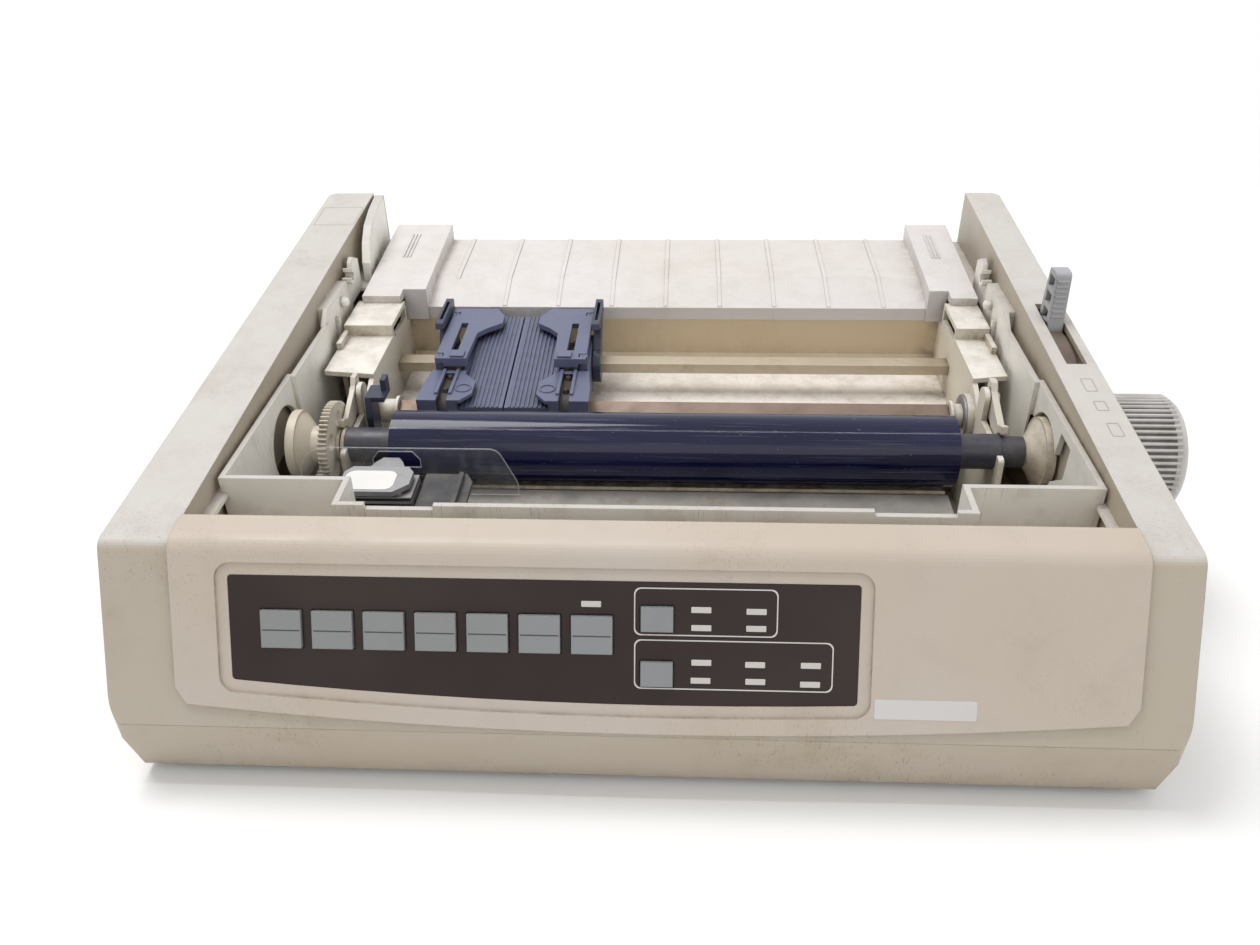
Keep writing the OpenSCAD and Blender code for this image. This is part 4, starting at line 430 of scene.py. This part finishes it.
MATERIALS = {
    # The case: the lighter colours inside the bay and on top faces are painted light, and its corner darkening also
    # paints the shade under the bezel's lip
    "case": plastic("case_plastic", BEIGE, 0.46, dirt_and_shade=0.65, dust=0.10, reach=0.006, inside=(0.88, 0.85, 0.78),
                    top=(0.60, 0.57, 0.535), wear=0.8),
    "base": plastic("base_plastic", (0.465, 0.400, 0.316), 0.46, dirt_and_shade=0.6, dust=0.15, wear=1.0),
    "bezel": plastic("bezel_plastic", (0.570, 0.495, 0.430), 0.44, grain=0.35, dirt_and_shade=0.6, reach=0.005, wear=0.55),
    "table": plastic("table_plastic", (0.73, 0.695, 0.685), 0.42, dirt_and_shade=0.50, dust=0.10, reach=0.016),
    # The frame's lighter colour on top faces is painted light
    "frame": plastic("frame_plastic", (0.74, 0.69, 0.58), 0.5, dirt_and_shade=0.80, dust=0.30, reach=0.014,
                     top=(0.86, 0.82, 0.76)),
    # The chute's lighter colour on top faces is painted light
    "chute": plastic("chute_plastic", (0.66, 0.54, 0.375), 0.5, dirt_and_shade=0.75, dust=0.25, reach=0.014,
                     top=(0.92, 0.87, 0.81)),
    "gear": plastic("gear_plastic", CREAM, 0.40, grain=0.05, dirt_and_shade=0.85, dust=0.12, reach=0.004),
    "key": plastic("key_plastic", (0.262, 0.272, 0.280), 0.42, dirt_and_shade=0.15, edge=0.35),
    "knob": knob_material(),
    # Lever: the bright ribs are partly painted highlight and the near black gaps partly painted shade
    "lever": plastic("lever_plastic", (0.40, 0.40, 0.415), 0.45, dirt_and_shade=1.0, edge=0.5, reach=0.0025,
                     soil_and_shade=(0.02, 0.02, 0.022)),
    # Tractors: the light edges are partly painted highlight and the near black corners partly painted shade
    "slate": plastic("tractor_plastic", SLATE, 0.36, dirt_and_shade=1.1, edge=1.0, reach=0.0035,
                     soil_and_shade=(0.006, 0.007, 0.012)),
    "slate_dark": plastic("tractor_dark", (0.030, 0.036, 0.068), 0.36, dirt_and_shade=0.2, edge=0.7,
                          soil_and_shade=(0.02, 0.018, 0.02)),
    "carriage": plastic("carriage_plastic", (0.035, 0.038, 0.050), 0.40, dirt_and_shade=0.3, edge=0.5, dust=0.2),
    "foot": plastic("foot_rubber", (0.028, 0.027, 0.026), 0.75, grain=0.3, dirt_and_shade=0.3),
    "roller": plastic("roller_rubber", (0.022, 0.021, 0.02), 0.6, dirt_and_shade=0.3),
    "belt": plastic("belt_rubber", (0.018, 0.018, 0.02), 0.55, dirt_and_shade=0.3, edge=0.3),
    "supply": supply_material(),
    "switch": plastic("switch_plastic", (0.015, 0.015, 0.016), 0.28, grain=0.03, dirt_and_shade=0.2),
    "steel": metal("ground_steel", (0.60, 0.58, 0.55), 0.26),
    "brown_steel": metal("brown_steel", (0.22, 0.165, 0.135), 0.46, tarnished=0.6, metallic=0.8),
    "rail": metal("rail_metal", (0.62, 0.54, 0.42), 0.38, tarnished=0.4),
    "sheet": metal("plated_sheet", (0.42, 0.40, 0.37), 0.42, brush=EVEN, tarnished=0.6, metallic=0.7),
    "head": metal("head_metal", (0.34, 0.34, 0.352), 0.42, tarnished=0.25, metallic=0.75),
    "motor": metal("motor_can", (0.16, 0.165, 0.17), 0.4, tarnished=0.3, metallic=0.8),
    "brass": metal("brass", (0.62, 0.43, 0.17), 0.3, tarnished=0.25),
    "platen": platen_material(),
    "shaft": shaft_material(),
    "clear": clear_material(),
    "board": board_material(),
    "window": window_material(),
    "label": label_material("plain_label", (0.82, 0.80, 0.78)),
    "sticker": label_material("worn_sticker", (0.66, 0.635, 0.61)),
    "lamp": label_material("lamp_window", (0.62, 0.58, 0.54)),
    "line": label_material("printed_line", (0.66, 0.62, 0.58)),
    "groove": label_material("key_groove", (0.055, 0.055, 0.058)),
    "seam": label_material("moulded_seam", (0.44, 0.40, 0.345)),
    "guard": plastic("guard_plastic", (0.115, 0.085, 0.070), 0.5, dirt_and_shade=0.3, dust=0.2),
    "washer": metal("dull_washer", (0.34, 0.34, 0.36), 0.42, brush=EVEN, tarnished=0.4),
}

FINISH = {
    "case": ["upper_cover"],
    "base": ["lower_cover"],
    "bezel": ["front_bezel"],
    "table": ["paper_table"],
    "frame": ["left_frame", "right_frame"],
    "chute": ["paper_chute"],
    "gear": ["platen_gear", "idler_gear_1", "idler_gear_2", "reduction_gear", "motor_pulley", "idler_pulley",
             "left_latch", "right_latch"],
    "key": [f"key_{i}" for i in range(1, 8)] + ["small_key_1", "small_key_2"],
    "knob": ["platen_knob"],
    "lever": ["release_lever"],
    "slate": [f"{side}_{n}" for side in LEFT_RIGHT for n in ("tractor_frame", "tractor_lid", "paper_support")],
    "slate_dark": [f"{side}_{n}" for side in LEFT_RIGHT for n in ("sprocket", "lock_lever")] + ["gap_lever"],
    "carriage": ["carriage"],
    "foot": ["rubber_feet"],
    "roller": ["pressure_rollers"],
    "belt": ["left_pin_belt", "right_pin_belt", "carriage_belt"],
    "supply": ["power_supply"],
    "switch": ["power_switch"],
    "steel": ["guide_shaft", "cover_screws"],
    "brown_steel": ["tractor_drive_shaft"],
    "rail": ["tractor_rail"],
    "sheet": ["mechanism_base"],
    "head": ["print_head"],
    "motor": ["line_feed_motor", "space_motor"],
    "brass": ["motor_pinion"],
    "platen": ["platen_roller"],
    "shaft": ["platen_shaft"],
    "clear": ["ribbon_shield"],
    "board": ["panel_board", "main_board"],
    "window": ["control_window"],
}


def dress_nodes():
    """Gives every node of the frame its material."""
    for key, names in FINISH.items():
        for name in names:
            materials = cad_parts[name].data.materials
            materials.clear()
            materials.append(MATERIALS[key])


# ---------------------------------------------------------------- surfaces that carry trim
LEAN = math.atan2(30.2, 63.8)                               # of the front, from its run and its drop
PANEL_EDGE = (-142.3, 94.2)                                 # Y and Z of the front's top edge
WINDOW_FACE, KEY_FACE, BEZEL_FACE = 0.6, 2.2, 1.5           # heights above the case's front
RAIL_SLOPE = 22.0 / 314.8
TABLE_FRONT, TABLE_SLOPE = (91.5, 79.5), 6.5 / 27.5


def on_panel(x, s, out):
    """A point of the sloping front: x to the right, s down the slope from its top edge, out above its face."""
    return mm(x, PANEL_EDGE[0] - s * math.sin(LEAN) - out * math.cos(LEAN),
              PANEL_EDGE[1] - s * math.cos(LEAN) + out * math.sin(LEAN))


def on_rail(x, y, out):
    """A point of the rails' sloping top, out above it."""
    return mm(x, y, PANEL_EDGE[1] + RAIL_SLOPE * (y - PANEL_EDGE[0]) + out)


def on_table(x, y, out):
    """A point of the paper table in front of its crease, out above it."""
    return mm(x, y, TABLE_FRONT[1] + TABLE_SLOPE * (y - TABLE_FRONT[0]) + out)


# ---------------------------------------------------------------- trim pieces
SINK = 0.1                      # how far trim is let into what carries it
CORNER_STEPS, RING_SIDES = 5, 48


def add_piece(name, verts, faces, material, body):
    """A piece that only the scene has: it rides on a body and shares a material slot."""
    mesh = bpy.data.meshes.new(name)
    mesh.from_pydata([tuple(v) for v in verts], [], faces)
    bm = bmesh.new()
    bm.from_mesh(mesh)
    bmesh.ops.recalc_face_normals(bm, faces=bm.faces)
    bm.to_mesh(mesh)
    bm.free()
    mesh.materials.append(MATERIALS[material])
    obj = bpy.data.objects.new(name, mesh)
    bpy.context.scene.collection.objects.link(obj)
    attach(obj, body)


def rounded_loop(x0, x1, s0, s1, r):
    """Corners of a rounded rectangle, anticlockwise."""
    points = []
    for cx, cs, start in ((x1 - r, s1 - r, 0), (x0 + r, s1 - r, 90),
                          (x0 + r, s0 + r, 180), (x1 - r, s0 + r, 270)):
        for i in range(CORNER_STEPS + 1):
            a = math.radians(start + 90 * i / CORNER_STEPS)
            points.append((cx + r * math.cos(a), cs + r * math.sin(a)))
    return points


def shrunk(outline, by):
    """A convex outline drawn in by the same distance along both axes."""
    cx = sum(p[0] for p in outline) / len(outline)
    cs = sum(p[1] for p in outline) / len(outline)
    return [(x - math.copysign(min(by, abs(x - cx)), x - cx), s - math.copysign(min(by, abs(s - cs)), s - cs))
            for x, s in outline]


def plate_on(place, outline, face, rise, name, material, body, soften):
    """A plate with a softened upper edge, rise above a face; place turns (x, s, out) into a point."""
    rings = [(outline, face - SINK), (outline, face + rise - soften), (shrunk(outline, soften), face + rise)]
    n = len(outline)
    verts = [place(x, s, out) for points, out in rings for x, s in points]
    faces = [[j * n + i, j * n + (i + 1) % n, (j + 1) * n + (i + 1) % n, (j + 1) * n + i]
             for j in range(2) for i in range(n)]
    faces += [list(range(n)), list(range(2 * n, 3 * n))]
    add_piece(name, verts, faces, material, body)


def loop_line(place, outline, width, face, rise, name, material, body):
    """A closed line of even width inside a convex outline on a surface."""
    n = len(outline)
    verts = [place(x, s, out) for out in (face - SINK, face + rise)
             for points in (outline, shrunk(outline, width)) for x, s in points]
    faces = []
    for i in range(n):
        j = (i + 1) % n
        faces += [[i, j, n + j, n + i], [2 * n + i, 2 * n + j, 3 * n + j, 3 * n + i],
                  [i, j, 2 * n + j, 2 * n + i], [n + i, n + j, 3 * n + j, 3 * n + i]]
    add_piece(name, verts, faces, material, body)


LAMPS = [(-16.8, 20.2), (22.9, 21.7), (42.7, 22.0), (23, 28.4), (42.7, 28.3),
         (23.2, 41.4), (42.6, 41.8), (62.6, 41.7), (23, 48.2), (42.8, 48.2), (62.5, 48.8)]
LAMP_HALF_X, LAMP_HALF_S = 3.6, 1.1
GROUPS = [(-1.3, 50.4, 13.7, 31.5), (-1.2, 70.6, 33.0, 51.7)]
GROUP_CORNER, GROUP_LINE = 2.4, 0.45
KEY_X, KEY_PITCH, KEY_W = -138.3, 19.05, 15.0
KEY_GROOVE_S, KEY_GROOVE_END = (31.6, 32.1), 0.5
STICKER, STICKER_CORNER = (85.7, 122.2, 53.5, 60.9), 0.8


def panel_trim():
    """Lamp windows, lines round the groups, grooves across the keys and the blank sticker."""
    for i, (x, s) in enumerate(LAMPS):
        outline = rounded_loop(x - LAMP_HALF_X, x + LAMP_HALF_X, s - LAMP_HALF_S, s + LAMP_HALF_S, 0.3)
        plate_on(on_panel, outline, WINDOW_FACE, 0.2, f"lamp_window_{i + 1}", "lamp",
                 "case", 0.1)
    for i, sides in enumerate(GROUPS):
        loop_line(on_panel, rounded_loop(*sides, GROUP_CORNER), GROUP_LINE, WINDOW_FACE, 0.08,
                  f"group_line_{i + 1}", "line", "case")
    for i in range(7):
        x = KEY_X + i * KEY_PITCH
        outline = rounded_loop(x + KEY_GROOVE_END, x + KEY_W - KEY_GROOVE_END, *KEY_GROOVE_S, 0.2)
        plate_on(on_panel, outline, KEY_FACE, 0.05, f"key_line_{i + 1}", "groove",
                 f"key_{i + 1}", 0.02)
    plate_on(on_panel, rounded_loop(*STICKER, STICKER_CORNER), BEZEL_FACE, 0.12,
             "blank_sticker", "sticker", "case", 0.05)


HEAD_LABEL_Y, HEAD_LABEL_CORNER = (-83.5, -69.5), 4.0
HEAD_LABEL_LEFT, HEAD_LABEL_RIGHT = 1.5, 8.0            # distances from the head's sides


def head_trim():
    """The blank label on top of the print head."""
    lo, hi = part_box("print_head")
    x0, x1, top = lo[0] / MM - CASE_X, hi[0] / MM - CASE_X, hi[2] / MM
    outline = rounded_loop(x0 + HEAD_LABEL_LEFT, x1 - HEAD_LABEL_RIGHT, *HEAD_LABEL_Y, HEAD_LABEL_CORNER)
    plate_on(mm, outline, top, 0.2, "head_label", "label", "carriage_unit", 0.1)


BLIND = (-196.6, -173.4, 127.8, 152.0)
SIGNS = [(188.2, 193.2, -37.5, -27.5), (188.5, 193.5, -52.0, -45.0), (189.0, 194.0, -70.3, -61.0)]


def rail_trim():
    """The outline of the blind on the left rail and the plain sheet signs beside the release lever."""
    loop_line(on_rail, rounded_loop(*BLIND, 0.4), 0.45, 0.0, 0.06, "rail_blind", "seam", "case")
    for i, sides in enumerate(SIGNS):
        loop_line(on_rail, rounded_loop(*sides, 0.5), 0.32, 0.0, 0.12, f"sheet_sign_{i + 1}", "seam",
                  "case")


RIB_X, RIB_PITCH, RIB_HALF, RIB_Y = 5.5, 29.8, 1.1, (92.4, 117.1)
MIDDLE_RIB = 4


def table_trim():
    """The shallow ends of the ribs in front of the crease; the rib at the far left stops at it."""
    for i in range(1, 9):
        x = RIB_X + (i - MIDDLE_RIB) * RIB_PITCH
        plate_on(on_table, rounded_loop(x - RIB_HALF, x + RIB_HALF, *RIB_Y, 0.4), 0.0, 0.45, f"rib_end_{i}",
                 "table", "case", 0.2)


LEVER_PIVOT = (12.0, 40.0)                              # Y and Z
GUARD_X, GUARD_RADII = (187.2, 193.8), (60.5, 62.5)
GUARD_START, GUARD_SWEEP, GUARD_STEPS = 58.0, 64.0, 24


def slot_guard():
    """The arc that closes the slot under the release lever and swings with it."""
    (x0, x1), (r0, r1) = GUARD_X, GUARD_RADII
    y, z = LEVER_PIVOT
    verts, faces = [], []
    for i in range(GUARD_STEPS + 1):
        a = math.radians(GUARD_START + GUARD_SWEEP * i / GUARD_STEPS)
        verts += [mm(x, y + r * math.cos(a), z + r * math.sin(a))
                  for x, r in ((x0, r0), (x1, r0), (x1, r1), (x0, r1))]
    for i in range(GUARD_STEPS):
        faces += [[4 * i + j, 4 * i + (j + 1) % 4, 4 * i + 4 + (j + 1) % 4, 4 * i + 4 + j] for j in range(4)]
    faces += [[0, 1, 2, 3], [4 * GUARD_STEPS + j for j in (3, 2, 1, 0)]]
    add_piece("slot_guard", verts, faces, "guard", "release_lever_body")


WASHER_AT = (9.0, 61.0)                                 # Y and Z
WASHER_X, WASHER_RADII, WASHER_CHAMFER = (150.8, 152.0), (6.2, 10.6), 0.3


def bush_trim():
    """The washer at the right boss of the tractors' shaft; its axis runs along X."""
    (x0, x1), (r0, r1) = WASHER_X, WASHER_RADII
    section = ((x0, r0), (x0, r1 - WASHER_CHAMFER), (x0 + WASHER_CHAMFER, r1), (x1, r1), (x1, r0))
    n, turn = RING_SIDES, 2 * math.pi
    verts = [mm(x, WASHER_AT[0] + r * math.cos(turn * i / n), WASHER_AT[1] + r * math.sin(turn * i / n))
             for x, r in section for i in range(n)]
    faces = [[j * n + i, j * n + (i + 1) % n, (j + 1) % 5 * n + (i + 1) % n, (j + 1) % 5 * n + i]
             for j in range(5) for i in range(n)]
    add_piece("right_bush_washer", verts, faces, "washer", "case")


# ---------------------------------------------------------------- studio
FLOOR_HALF = 3
FLOOR_FADE = (0.65, 1.15)       # distances from the object between which the floor runs into the white background
AMBIENT, WHITE = ((0.97, 0.98, 1.0, 1), 0.60), ((1, 1, 1, 1), 1.0)
LIGHTS = (
    # name, power, size, place, aim, colour
    ("key_light", 30.0, (1.3, 0.95), (-0.8, 0.6, 2.3), (0.0, 0.0, 0.05), (1.0, 0.99, 0.97)),
    ("front_fill", 2.0, (1.4, 0.8), (0.3, -1.4, 0.9), (0.0, -0.1, 0.05), (1.0, 0.98, 0.96)),
    ("side_fill", 2.5, (0.9, 0.9), (1.3, -0.2, 0.6), (0.0, 0.0, 0.05), (1, 1, 1)),
    ("platen_strip", 2.6, (1.5, 0.02), (0.0, -0.06, 1.5), (0.0, -0.06, 0.08), (1, 1, 1)),
)


def add_floor():
    """A pale floor that keeps the shadow near the object and turns white further out."""
    n = Nodes("studio_floor")
    n.finish((0.96, 0.96, 0.955), n.span(n.noise(6.0), 0.3, 0.7, 0.72, 0.8),
             n.bump(n.noise(300.0), 0.02, GRAIN_DEPTH))
    path = n.add("ShaderNodeLightPath")
    seen = n.math("MAXIMUM", n.math("MAXIMUM", path.outputs["Is Camera Ray"], path.outputs["Is Glossy Ray"]),
                  path.outputs["Is Transmission Ray"])
    away = n.add("ShaderNodeVectorMath", operation="LENGTH")
    n.put(away.inputs[0], n.coord)
    glow, blend = n.add("ShaderNodeEmission"), n.add("ShaderNodeMixShader")
    kinds = {node.type: node for node in n.mat.node_tree.nodes}
    n.put(blend.inputs[0], n.math("MULTIPLY", seen, n.span(away.outputs["Value"], *FLOOR_FADE)))
    n.put(blend.inputs[1], kinds["BSDF_PRINCIPLED"].outputs[0])
    n.put(blend.inputs[2], glow.outputs[0])
    n.put(kinds["OUTPUT_MATERIAL"].inputs[0], blend.outputs[0])
    mesh = bpy.data.meshes.new("studio_floor")
    corners = [(x * FLOOR_HALF, y * FLOOR_HALF, 0) for x, y in ((-1, -1), (1, -1), (1, 1), (-1, 1))]
    mesh.from_pydata(corners, [], [(0, 1, 2, 3)])
    mesh.materials.append(n.mat)
    floor = bpy.data.objects.new("studio_floor", mesh)
    bpy.context.scene.collection.objects.link(floor)


def add_world():
    """An even, dim surround that looks white to the camera, in reflections and through glass."""
    world = bpy.data.worlds.new("studio")
    world.use_nodes = True
    bpy.context.scene.world = world
    nodes, links = world.node_tree.nodes, world.node_tree.links
    nodes.clear()
    path, mix = nodes.new("ShaderNodeLightPath"), nodes.new("ShaderNodeMixShader")
    seen = path.outputs["Is Camera Ray"]
    for ray in ("Is Transmission Ray", "Is Glossy Ray"):
        either = nodes.new("ShaderNodeMath")
        either.operation = "MAXIMUM"
        links.new(seen, either.inputs[0])
        links.new(path.outputs[ray], either.inputs[1])
        seen = either.outputs[0]
    links.new(seen, mix.inputs[0])
    for socket, (color, strength) in zip((mix.inputs[1], mix.inputs[2]), (AMBIENT, WHITE)):
        background = nodes.new("ShaderNodeBackground")
        background.inputs["Color"].default_value = color
        background.inputs["Strength"].default_value = strength
        links.new(background.outputs[0], socket)
    out = nodes.new("ShaderNodeOutputWorld")
    links.new(mix.outputs[0], out.inputs[0])


def add_lights():
    """Key from the back left, two weak fills and a strip that draws the line of light along the platen."""
    for name, power, size, at, aim, color in LIGHTS:
        data = bpy.data.lights.new(name, "AREA")
        data.shape = "RECTANGLE"
        data.energy, data.color = power, color
        data.size, data.size_y = size
        obj = bpy.data.objects.new(name, data)
        obj.location = at
        obj.rotation_euler = (Vector(aim) - Vector(at)).to_track_quat("-Z", "Y").to_euler()
        bpy.context.scene.collection.objects.link(obj)


bpy.context.scene.view_settings.view_transform = "Standard"
add_camera()
dress_nodes()
panel_trim()
head_trim()
rail_trim()
table_trim()
slot_guard()
bush_trim()
add_floor()
add_world()
add_lights()
